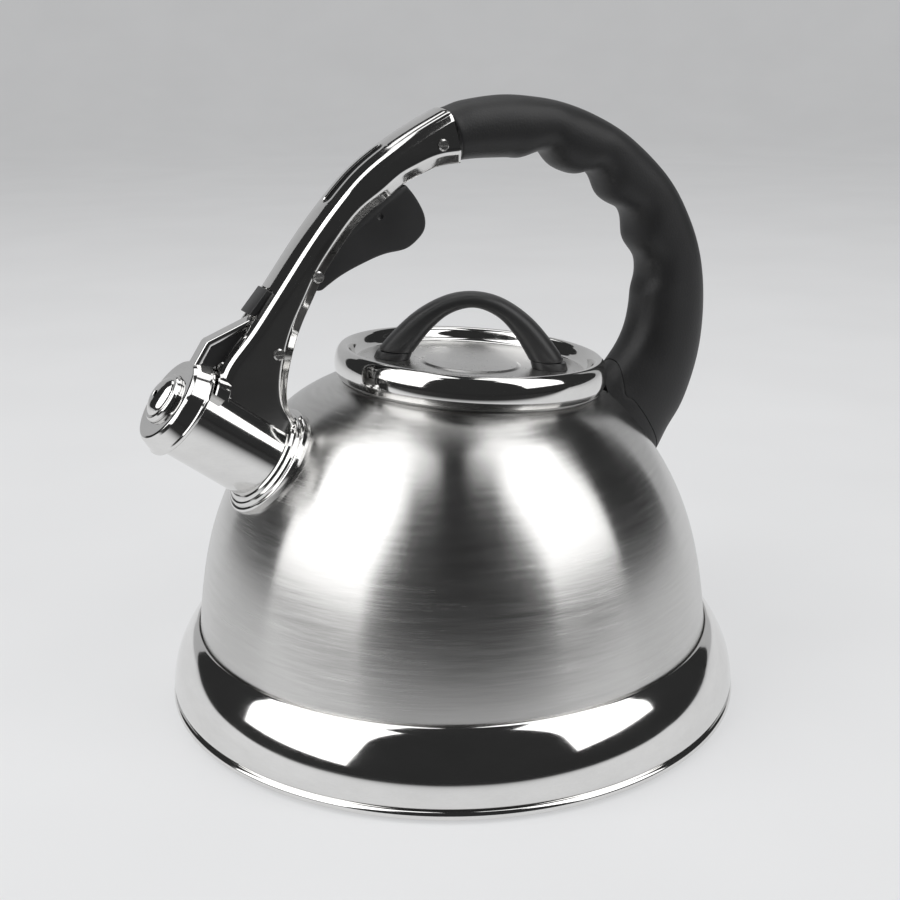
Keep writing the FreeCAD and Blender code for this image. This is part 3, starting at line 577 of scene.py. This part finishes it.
ferr = []
for sg in (1, -1):
    rws = []
    for s_, k in ((6.12, 0.985), (6.2, 1.0), (6.5, 1.006), (7.4, 1.008), (8.4, 1.006), (8.78, 1.0), (8.92, 0.985)):
        g = (s_ - 6.1) / 3.5
        o, i = -37.4 + 1.3 * g, -23.6 + 1.1 * g
        md, hw = (o + i) / 2, (i - o) / 2 * k
        rws.append([lidp(-sg * (md + hw * math.copysign(abs(math.cos(t)) ** (2 / 2.25), math.cos(t))), s_,
                         6.25 * k * math.copysign(abs(math.sin(t)) ** (2 / 2.25), math.sin(t)))
                    for t in (2 * math.pi * j / 48 for j in range(48))])
    ferr.append(grid(rws, True, True, True))
v = ferr[0][0] + ferr[1][0]
f = ferr[0][1] + [tuple(i + len(ferr[0][0]) for i in q) for q in ferr[1][1]]
piece(make("lid_arch_feet", v, f, "lid", 45), "lid", "black_plastic", "lid_handle_feet")

# ------------------------------------------------------------------ spout
flange = rounded([(16.0, -8), (21.2, -8), (21.2, 1.2, 0.5), (20.6, 1.6, 0.5), (19.6, 1.6, 0.25), (19.4, 2.5, 0.4),
                  (18.8, 2.9, 0.4), (18.0, 2.9, 0.25), (17.5, 3.9, 0.5), (16.6, 4.3, 0.4), (16.0, 4.3)])
piece(lathe("spout_collar", flange, "body", SPOUT_C, U_S, E_S, 160), "body", "polished_steel", "spout_flange")
tube = rounded([(15.35, -8), (16.15, -8), (16.15, 38.9, 0.35), (16.3, 39.6, 0.35), (15.35, 39.6, 0.3)])
piece(lathe("spout_pipe", tube, "body", SPOUT_C, U_S, E_S, 160), "body", "polished_steel", "spout_tube")

# ------------------------------------------------------------------ whistle cap
cap = rounded([(17.3, 38.1, 0.15), (18.3, 38.1, 0.3), (18.4, 39.3, 0.4), (17.9, 39.8, 0.35), (16.2, 44.3, 0.8),
               (15.3, 45.3, 0.7), (14.4, 45.4, 0.3), (9.5, 45.4), (9.4, 44.7), (14.4, 44.6, 0.4), (15.4, 43.6, 0.4),
               (16.8, 39.9, 0.3), (17.3, 39.4, 0.2)])
piece(lathe("cap_shell", cap, "cap", SPOUT_C, U_S, E_S, 160), "cap", "polished_steel", "whistle_cap")
nub_top = [tuple(p) for p in curve([(1.45, 49.98), (3.6, 49.75), (5.6, 49.1), (7.15, 48.1)], 16)]
nub = [(1.3, 49.3), (1.3, 49.85)] + nub_top + rounded(
    [(7.2, 48.05), (7.5, 47.55, 0.25), (8.6, 47.5, 0.35), (9.1, 47.0, 0.3), (9.35, 46.2, 0.4), (9.35, 44.8, 0.1),
     (8.7, 44.8), (8.7, 46.6, 0.3), (7.0, 46.8, 0.3), (5.4, 48.3), (3.4, 49.0)], closed=False)
piece(lathe("cap_nub", nub, "cap", SPOUT_C, U_S, E_S, 128), "cap", "polished_steel", "whistle_front")

# lever on the cap
Fp, Bp, Ep = np.array((-100.2, 140.6)), np.array((-95.0, 148.4)), np.array((-78.3, 154.9))


def lever_line(d, n=26):
    a, b = (Bp - Fp) / np.linalg.norm(Bp - Fp), (Ep - Bp) / np.linalg.norm(Ep - Bp)
    na, nb = np.array((a[1], -a[0])), np.array((b[1], -b[0]))
    mm = (na + nb) / np.linalg.norm(na + nb)
    k = 1 / mm.dot(na)
    p = [tuple(Fp + na * d), (*(Bp + mm * d * k), 3.0 - d), tuple(Ep + nb * d)]
    return rounded(p, closed=False, k=10)


top, low = lever_line(0.0), lever_line(2.2)
mid_ = lever_line(1.0)
half_out = 3.4
rows = []
for i in range(len(top)):
    t, l, mdl = top[i], low[i], mid_[i]
    fil = 0.55
    ring_ = []
    for sg in (-1, 1):
        pts = [(sg * 2.85, l), (sg * 3.4, l)] if sg < 0 else [(sg * 3.4, l), (sg * 2.85, l)]
        ring_.append(pts)

    def mixp(a, b, w):
        return (a[0] + (b[0] - a[0]) * w, a[1] + (b[1] - a[1]) * w)

    sec = [(-2.85, l), (-3.28, l), (-3.4, mixp(l, t, 0.1))]
    for q in range(7):
        an = math.pi / 2 * q / 6
        sec.append((-3.4 + 0.8 * (1 - math.cos(an)), mixp(t, l, 0.32 * (1 - math.sin(an)))))
    sec += [(y, mixp(t, l, -0.0 + 0.02 * abs(y))) for y in (-1.6, 0.0, 1.6)]
    for q in range(6, -1, -1):
        an = math.pi / 2 * q / 6
        sec.append((3.4 - 0.8 * (1 - math.cos(an)), mixp(t, l, 0.32 * (1 - math.sin(an)))))
    sec += [(3.4, mixp(l, t, 0.1)), (3.28, l), (2.85, l), (2.85, mdl), (-2.85, mdl)]
    rows.append([xyz(p[0], p[1], y) for y, p in sec])
v, f = grid(rows, True, True, True)
strip = make("lever_cover", v, f, "cap", 42)
piece(strip, "cap", "polished_steel", "lever_strip")

# ------------------------------------------------------------------ handle shell
SO = [(-3.5, 223.9), (-15.8, 217.9), (-27.5, 211.2), (-38.5, 203.4), (-47.6, 194.4), (-55.3, 185.7), (-63.0, 176.0),
      (-69.0, 168.0), (-76.7, 157.8), (-83.3, 149.6), (-92.0, 138.9), (-93.4, 134.4), (-92.6, 129.0), (-89.0, 122.0)]
SI = [(1.3, 204.7), (-7.9, 203.8), (-15.8, 201.0), (-21.3, 198.5), (-27.6, 194.0), (-36.2, 188.3), (-43.3, 181.1),
      (-48.0, 175.2), (-52.8, 168.6), (-57.0, 161.0), (-62.0, 151.5), (-65.5, 142.3), (-67.9, 133.0), (-68.5, 125.7),
      (-66.9, 119.3), (-64.8, 115.5), (-65.2, 112.3), (-67.5, 109.0), (-71.0, 106.0)]
so_f, so_len = curve_f(SO)
si_f, si_len = curve_f(SI)


def nearest(fn, p, n=4000):
    t = np.linspace(0, 1, n)
    q = fn(t)
    return t[np.argmin(np.hypot(q[:, 0] - p[0], q[:, 1] - p[1]))]


# matched stations on the two outlines
KEYS = [((-3.5, 223.9), (1.3, 204.7)), ((-27.5, 211.2), (-20.3, 199.0)), ((-47.6, 194.4), (-38.5, 186.4)),
        ((-63.0, 176.0), (-52.0, 169.6)), ((-76.7, 157.8), (-61.0, 153.5)), ((-83.3, 149.6), (-66.0, 140.5)),
        ((-92.0, 138.9), (-67.2, 120.5)), ((-89.0, 122.0), (-71.0, 106.0))]
ka = [nearest(so_f, a) for a, b in KEYS]
kb = [nearest(si_f, b) for a, b in KEYS]
ka[0] = kb[0] = 0.0
ka[-1] = kb[-1] = 1.0
SLOT_A, SLOT_B, SLOT_R = nearest(so_f, (-26.8, 213.0)) * so_len, nearest(so_f, (-49.2, 193.0)) * so_len, 2.8
# the slot's ends: the station lines crowd round them, so that the ends are round
HOOK = nearest(so_f, (-71.5, 164.7)) * so_len
marks = set(np.round(np.linspace(0, so_len, 120), 4))
marks = {q for q in marks if min(abs(q - SLOT_A), abs(q - SLOT_B)) > 2.9 and abs(q - HOOK) > 0.5}
for e_, sg in ((SLOT_A, 1), (SLOT_B, -1)):
    for q in range(0, 13):
        marks.add(round(e_ + sg * SLOT_R * (1 - math.cos(math.pi / 2 * q / 12)), 4))
    for q in (0.5, 1.1, 1.9, 2.6):
        marks.add(round(e_ - sg * q, 4))
marks.add(round(HOOK, 4))
stations = np.array(sorted(marks)) / so_len
HALF = 10.5
LIP = 5.0


def slot_w(sv):
    if SLOT_A <= sv <= SLOT_B:
        d = min(sv - SLOT_A, SLOT_B - sv)
        return SLOT_R if d >= SLOT_R else math.sqrt(max(0.0, SLOT_R ** 2 - (SLOT_R - d) ** 2))
    d = max(SLOT_A - sv, sv - SLOT_B)
    return min(SLOT_R, 1.05 * d)


def crown(y):
    return 1.15 * (abs(y) / 7.4) ** 2.2


def section(sv, p, q):
    """Half section (y, depth) from the middle of the top to the turned-in lip."""
    length = math.hypot(q[0] - p[0], q[1] - p[1])
    w = slot_w(sv)
    pts = [(0.0, 0.0), (w * 0.5, crown(w * 0.5)), (w, crown(w)), (w + (5.4 - w) * 0.5, crown(w + (5.4 - w) * 0.5)),
           (5.4, crown(5.4)), (6.2, crown(6.2))]
    for j in range(9):
        a = math.pi / 2 * j / 8
        pts.append((7.0 + 3.3 * math.sin(a), crown(7.0) + 3.6 * (1 - math.cos(a))))
    s0 = crown(7.0) + 3.6
    s1 = length - LIP
    for w_ in (0.12, 0.3, 0.5, 0.7, 0.88):
        pts.append((HALF - 0.17 + 0.1 * w_, s0 + (s1 - s0) * w_))
    for j in range(12):
        w_ = j / 11
        g_ = w_ * w_ / 0.56 if w_ < 0.28 else w_ - 0.14
        pts.append((7.6 + 2.83 * (1 - g_ / 0.86), s1 + LIP * w_))
    return pts


# the pairing of top and bottom edge, evened out so the sides don't ripple
fine = np.linspace(0, 1, 801)
drift = np.interp(fine, ka, kb) - fine
pad_d = np.r_[2 * drift[0] - drift[60:0:-1], drift, 2 * drift[-1] - drift[-2:-62:-1]]
win = np.hanning(123)[1:-1]
even = np.convolve(pad_d, win / win.sum(), "valid")


def kb_f(t):
    return min(1.0, max(0.0, t + np.interp(t, fine, even)))


rows, ncol = [], None
for s_ in stations:
    p = so_f(s_)[0]
    q = si_f(float(kb_f(s_)))[0]
    ln = math.hypot(q[0] - p[0], q[1] - p[1])
    d = ((q[0] - p[0]) / ln, (q[1] - p[1]) / ln)
    hp = section(s_ * so_len, p, q)
    row = [(-y, u) for y, u in hp[:0:-1]] + hp
    rows.append([Vector((p[0] + d[0] * u, y, p[1] + d[1] * u)) for y, u in row])
n_half = len(hp)
n_col = 2 * n_half - 1
mid_c = n_half - 1
verts = [p for r in rows for p in r]
faces = []
for i in range(len(rows) - 1):
    sm = (stations[i] + stations[i + 1]) / 2 * so_len
    for j in range(n_col - 1):
        jc = min(abs(j - mid_c), abs(j + 1 - mid_c))
        if SLOT_A < sm < SLOT_B and jc < 2:
            continue
        if sm > HOOK and jc < 4:
            continue
        faces.append((i * n_col + j, i * n_col + j + 1, (i + 1) * n_col + j + 1, (i + 1) * n_col + j))
shell = make("handle_cover", verts, faces, "body", 60)
# normals must face away from the channel
bm = bmesh.new()
bm.from_mesh(shell.data)
bm.faces.ensure_lookup_table()
probe = max(bm.faces, key=lambda fc: fc.calc_center_median().z)
if probe.normal.z < 0:
    bmesh.ops.reverse_faces(bm, faces=bm.faces)
bm.to_mesh(shell.data)
bm.free()
s = shell.modifiers.new("sheet", "SOLIDIFY")
s.thickness = 1.1 * MM
s.offset = -1
s.use_even_offset = False
apply(shell)
bevel(shell, 0.14, 2, 60.0, 62.0)
piece(shell, "body", "polished_steel", "handle_shell")

# the black inlay in the slot: a crowned strip with round ends, just below the sheet
ts = [SLOT_A + 0.02 + (SLOT_B - SLOT_A - 0.04) * w for w in np.r_[
    (1 - np.cos(np.linspace(0, math.pi / 2, 12))) * 0.06, np.linspace(0.09, 0.91, 26),
    1 - (1 - np.cos(np.linspace(math.pi / 2, 0, 12))) * 0.06]]
rows = []
for sv in ts:
    d = max(0.0, min(sv - SLOT_A, SLOT_B - sv))
    w = SLOT_R - 0.04 if d >= SLOT_R else math.sqrt(max(0.0, SLOT_R ** 2 - (SLOT_R - d) ** 2)) * 0.985
    p, p2 = so_f(sv / so_len)[0], so_f(sv / so_len + 1e-4)[0]
    tg = (p2 - p) / np.linalg.norm(p2 - p)
    nn = np.array((tg[1], -tg[0]))
    if nn[1] > 0:
        nn = -nn
    sec = [(y * w, 0.75 + crown(y * w) + 0.15 * abs(y) ** 3) for y in (-1, -0.9, -0.6, -0.3, 0, 0.3, 0.6, 0.9, 1)]
    sec += [(w, 1.6), (-w, 1.6)]
    rows.append([Vector((p[0] + nn[0] * u, y, p[1] + nn[1] * u)) for y, u in sec])
v, f = grid(rows, True, True, True)
inlay = piece(make("slot_inlay", v, f, "body", 50), "body", "black_plastic", "shell_inlay")
inlay.data.materials[0] = INLAY

# ------------------------------------------------------------------ grip
GR = [(106.9, 91.75, 72.2), (105.7, 91.59, 71.96), (102.5, 91.95, 71.19), (99.3, 91.95, 70.5), (96.1, 91.89, 69.94),
      (92.9, 91.92, 69.56), (89.7, 91.94, 69.3), (86.5, 91.82, 69.12), (83.3, 91.72, 70.3), (80.1, 91.74, 71.99),
      (76.9, 91.78, 72.13), (73.7, 91.77, 69.34), (70.5, 91.76, 67.95), (67.3, 91.78, 67.87), (64.1, 91.81, 68.9),
      (60.9, 91.87, 71.7), (57.7, 91.94, 72.08), (54.5, 92.0, 70.58), (51.3, 92.07, 68.32), (48.1, 92.18, 67.99),
      (44.9, 92.3, 69.08), (41.7, 92.45, 70.53), (38.5, 92.58, 70.39), (35.3, 92.71, 68.54), (32.1, 92.77, 66.32),
      (28.9, 92.7, 66.03), (25.7, 92.61, 66.94), (22.5, 92.5, 67.52), (19.3, 92.42, 66.74), (16.1, 92.31, 65.16),
      (12.9, 92.17, 62.87), (9.7, 91.93, 61.62), (6.5, 91.65, 60.75), (3.3, 91.42, 59.83), (0.1, 91.22, 58.87),
      (-3.1, 91.08, 57.7), (-6.3, 90.97, 56.36), (-9.5, 90.82, 54.84), (-12.7, 90.6, 53.2), (-15.9, 90.37, 51.67),
      (-19.1, 90.14, 50.19), (-22.3, 89.86, 48.93), (-25.5, 89.3, 47.75), (-28.7, 88.47, 46.67),
      (-31.9, 88.16, 45.88), (-35.1, 88.5, 45.52), (-38.3, 89.0, 45.4), (-41.5, 89.5, 45.4), (-44.7, 90.1, 45.5),
      (-48.0, 91.0, 46.0)]
ga = np.array([g[0] for g in GR][::-1])
g_f = nat(ga, np.array([g[1:] for g in GR][::-1]))
dz = np.array([z for z, r in DOME])
dr = np.array([r for z, r in DOME])


def dome_gap(p):
    """Distance from the dome's side, outwards."""
    r = math.hypot(p.x, p.y)
    rz = np.interp(p.z, dz, dr)
    slope = (np.interp(p.z + 1, dz, dr) - np.interp(p.z - 1, dz, dr)) / 2
    return (r - rz) / math.sqrt(1 + slope * slope)


def grip_pt(ang, j, n):
    ro, ri = g_f([ang])[0]
    d = Vector((math.cos(math.radians(ang)), 0, math.sin(math.radians(ang))))
    c = Vector((GC[0], 0, GC[1])) + d * ((ro + ri) / 2)
    p = (ro - ri) / 2
    k = max(0.0, (105.7 - ang) / (105.7 + 48.0))
    q = 11.0 + 1.6 * min(1.0, k * 2.2) + 0.6 * k
    t = 2 * math.pi * j / n
    cu, su = math.cos(t), math.sin(t)
    e = 2 / 2.35
    return c + d * (p * math.copysign(abs(cu) ** e, cu)) + Y * (q * math.copysign(abs(su) ** e, su))


NG = 64
split = -4.0


def crossing(j, gap):
    a0 = split
    prev, pa = dome_gap(grip_pt(a0, j, NG)), a0
    for a in np.arange(split, -48.01, -0.5):
        g = dome_gap(grip_pt(a, j, NG))
        if g < gap:
            return pa + (a - pa) * (prev - gap) / max(1e-6, prev - g)
        prev, pa = g, a
    return -48.0


c6 = [crossing(j, 6.06) for j in range(NG)]
c5 = [crossing(j, 5.92) for j in range(NG)]
c0 = [crossing(j, -0.6) for j in range(NG)]
angs = np.linspace(106.9, split, 200)
rows = [[grip_pt(a, j, NG) for j in range(NG)] for a in angs]
for w in np.linspace(0, 1, 46)[1:]:
    rows.append([grip_pt(split + (c6[j] - split) * w, j, NG) for j in range(NG)])


def pinch(row, k):
    c = sum(row, Vector()) / len(row)
    return [c + (p - c) * k for p in row]


e0 = rows[0]
t0 = (rows[1][0] - rows[0][0]).normalized()
rows = [pinch([p - t0 * 0.0 for p in e0], 0.93), pinch([p for p in e0], 0.975)] + \
       [pinch([p + t0 * 0.25 for p in e0], 0.992)] + [r for r in rows[1:]]
e1 = rows[-1]
rows[-1] = pinch(e1, 0.998)
rows.append(pinch(e1, 0.985))
v, f = grid(rows, True, True, True)
grip = make("grip_body", v, f, "body", 48)
TA = math.radians(-24.0)
tab_d, tab_t = Vector((math.cos(TA), 0, math.sin(TA))), Vector((-math.sin(TA), 0, math.cos(TA)))
screw_at = Vector((GC[0], 0, GC[1])) + tab_d * 63.0 + tab_t * 6.0
bore = lathe("bore", [(0, 20.6), (4.4, 20.6), (4.4, 34.0), (0, 34.0)], "body", screw_at, tab_t, tab_d, 48)
cut(grip, bore, 48)
piece(grip, "body", "grip_plastic", "grip")
rows = []
for w in np.linspace(0, 1, 9):
    rows.append([grip_pt(c5[j] + (c0[j] - c5[j]) * w, j, NG) for j in range(NG)])
rows = [pinch(r, 0.994 if i else 0.985) for i, r in enumerate(rows)]
v, f = grid(rows, True, True, True)
piece(make("foot_pad", v, f, "body", 48), "body", "grip_plastic", "rear_foot_pad")

# ------------------------------------------------------------------ trigger
DOT = (-30.3, 187.4)
TR = [(-53.3, 162.8), (-46.3, 167.2), (-36.6, 171.4), (-26.8, 174.2), (-19.6, 175.4), (-15.6, 178.0), (-12.7, 181.4),
      (-12.3, 185.7), (-14.2, 190.5), (-16.5, 194.1), (-20.0, 198.2)]
HID = [(-27.0, 195.2), (-36.0, 189.2), (-44.0, 182.0), (-50.5, 175.8), (-56.0, 174.4), (-60.5, 171.5),
       (-61.5, 166.5), (-58.5, 163.2)]
pad = prism("trigger_pad", [tuple(p) for p in curve(TR, 70)] + HID, 6.5, "trigger")
bevel(pad, 1.1, 4, 28.0, 55.0)
for yy, ax_ in ((-6.5, -1.0), (6.5, 1.0)):
    dot_ = lathe("dot", [(0, -0.55), (1.0, -0.5), (1.25, -0.3), (1.35, 1.0), (0, 1.0)], "trigger",
                 Vector((DOT[0], yy, DOT[1])), X, Y * ax_, 32)
    cut(pad, dot_, 40)
piece(pad, "trigger", "black_plastic")
AM = [(-53.3, 162.8), (-62.5, 163.2), (-70.0, 159.2), (-76.2, 155.9), (-78.6, 156.2), (-79.9, 156.7), (-72.8, 164.9),
      (-70.4, 162.9), (-66.5, 166.6), (-61.5, 171.0), (-56.0, 173.6)]
arm = prism("trigger_hook", AM, 5.0, "trigger")
bevel(arm, 0.3, 3, 28.0, 55.0)
piece(arm, "trigger", "black_plastic")
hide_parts("trigger")

# ------------------------------------------------------------------ CAD nodes carried over
SLOT_OF = {q["node"]: q["material_slot"] for q in frame["record"]["subparts"]}
for nm, ob in frame["nodes"].items():
    slot = SLOT_OF[nm]
    for sl in range(len(ob.material_slots)):
        ob.material_slots[sl].link = "OBJECT"
        ob.material_slots[sl].material = MAT[slot]
    if not ob.material_slots:
        ob.data.materials.append(MAT[slot])

# ------------------------------------------------------------------ stage and light
c_dir = Vector((-math.sin(AZ), -math.cos(AZ), 0))
r_dir = Vector((math.cos(AZ), -math.sin(AZ), 0))
sweep = [(-1400.0, 0.0), (-900.0, 0.0), (-500.0, 0.0), (0.0, 0.0), (600.0, 0.0), (1500.0, 0.0), (2600.0, 0.0)] + \
        [(2600 + 900 * math.sin(a), 900 * (1 - math.cos(a))) for a in np.linspace(0, math.pi / 2, 16)[1:]] + \
        [(3500.0, 1800.0), (3500.0, 3200.0)]


def paper(name, painted_front_shade):
    """Pale seamless paper that glows evenly apart from painted shade: a painted falloff makes it darker further from
    the middle (further back, for the reflected sweep), and the reflected sweep also gets painted shade in front, dark
    as if a black flag stood there.
    """
    mt, nt, bs = nodes_of(name)
    co = node(nt, "ShaderNodeTexCoord").outputs["Object"]
    dot = node(nt, "ShaderNodeVectorMath", operation="DOT_PRODUCT")
    nt.links.new(co, dot.inputs[0])
    dot.inputs[1].default_value = tuple(-c_dir)
    back = dot.outputs["Value"]
    lng = node(nt, "ShaderNodeVectorMath", operation="LENGTH")
    nt.links.new(co, lng.inputs[0])
    # painted falloff shade: glow and colour fall to 0.85 further from the middle, or further back for the
    # front-shaded kind
    g_all = ramp(nt, back if painted_front_shade else lng.outputs["Value"], -0.2, 2.6, 1.0, 0.85)
    grain = ramp(nt, noise(nt, co, 6.0, 2.0), 0.3, 0.7, 0.985, 1.015)
    g_all = math2(nt, "MULTIPLY", g_all, grain)
    if painted_front_shade:
        # painted shade: in front of the object the glow and colour drop almost to black, standing in for the unlit
        # camera side of the room
        tone = node(nt, "ShaderNodeMapRange", interpolation_type="SMOOTHSTEP")
        for k_, v_ in (("From Min", -0.36), ("From Max", -0.15), ("To Min", 0.03), ("To Max", 1.0)):
            tone.inputs[k_].default_value = v_
        nt.links.new(back, tone.inputs["Value"])
        g_all = math2(nt, "MULTIPLY", g_all, tone.outputs["Result"])
    cb = node(nt, "ShaderNodeCombineXYZ")
    for i_, k_ in enumerate((0.985, 0.99, 1.0)):
        nt.links.new(math2(nt, "MULTIPLY", g_all, k_), cb.inputs[i_])
    sc = node(nt, "ShaderNodeVectorMath", operation="SCALE")
    sc.inputs["Scale"].default_value = 0.34
    nt.links.new(cb.outputs[0], sc.inputs[0])
    nt.links.new(sc.outputs[0], bs.inputs["Base Color"])
    nt.links.new(cb.outputs[0], bs.inputs["Emission Color"])
    bs.inputs["Emission Strength"].default_value = 0.50
    bs.inputs["Roughness"].default_value = 0.8
    bs.inputs["Specular IOR Level"].default_value = 0.1
    return mt


# what the steel reflects: a glowing sweep behind the object, with painted shade in front of it
rows = [[c_dir * (-d) + r_dir * w + Z * (h - 0.5) for w in np.linspace(-4200, 4200, 13)] for d, h in sweep]
v, f = grid(rows, False)
sweep_ob = make("studio_sweep", v, f, "body", 60)
if sweep_ob.data.polygons[0].normal.z < 0:
    sweep_ob.data.flip_normals()
sweep_ob.data.materials.append(paper("paper_flagged", True))
sweep_ob.visible_camera = False
# what is seen around it: a pale glowing floor that rises into a wall on every side, with painted falloff shade
# further out
prof = [(0.0, 0.0), (500, 0.0), (1500, 0.0), (2600, 0.0)] + \
       [(2600 + 900 * math.sin(a), 900 * (1 - math.cos(a))) for a in np.linspace(0, math.pi / 2, 16)[1:]] + \
       [(3500, 1800), (3500, 3600)]
rows = [[(r * math.cos(2 * math.pi * j / 96), r * math.sin(2 * math.pi * j / 96), t) for j in range(96)]
        for r, t in prof]
v, f = grid(rows)
floor = make("studio_floor", v, f, "body", 60)
if floor.data.polygons[0].normal.z < 0:
    floor.data.flip_normals()
floor.data.materials.append(paper("paper", False))
floor.visible_glossy = False
floor.visible_diffuse = False
floor.visible_shadow = False


def soft(name, az, dist, z, w, h, radiance, aim=(0, 0, 0.08)):
    """Softbox at an angle from the camera's direction, negative to its left, w by h metres."""
    a = math.radians(az)
    pos = (c_dir * math.cos(a) + r_dir * math.sin(a)) * dist + Vector((0, 0, z))
    li = bpy.data.lights.new(name, "AREA")
    li.shape = "RECTANGLE"
    li.size, li.size_y = w, h
    li.energy = radiance * math.pi * w * h
    ob = bpy.data.objects.new(name, li)
    bpy.context.scene.collection.objects.link(ob)
    ob.visible_camera = False
    ob.matrix_world = Matrix.Translation(pos) @ (Vector(aim) - pos).to_track_quat("-Z", "Y").to_matrix().to_4x4()
    return ob


soft("softbox_left", -62, 1.25, 0.85, 1.35, 1.35, 2.1)
soft("softbox_right", 65, 1.25, 1.0, 1.1, 1.3, 2.1)
soft("overhead_left", -72, 0.66, 1.45, 1.1, 0.9, 1.8)
soft("overhead_right", 74, 0.64, 1.55, 0.85, 0.8, 1.7)
soft("overhead_back", 180, 0.75, 1.5, 1.3, 0.6, 1.4)
world = bpy.data.worlds.new("room")
bpy.context.scene.world = world
world.use_nodes = True
bg = next(x for x in world.node_tree.nodes if x.type == "BACKGROUND")
bg.inputs["Color"].default_value = (0.98, 0.99, 1.0, 1)
bg.inputs["Strength"].default_value = 0.03
bpy.context.scene.view_settings.view_transform = "Standard"
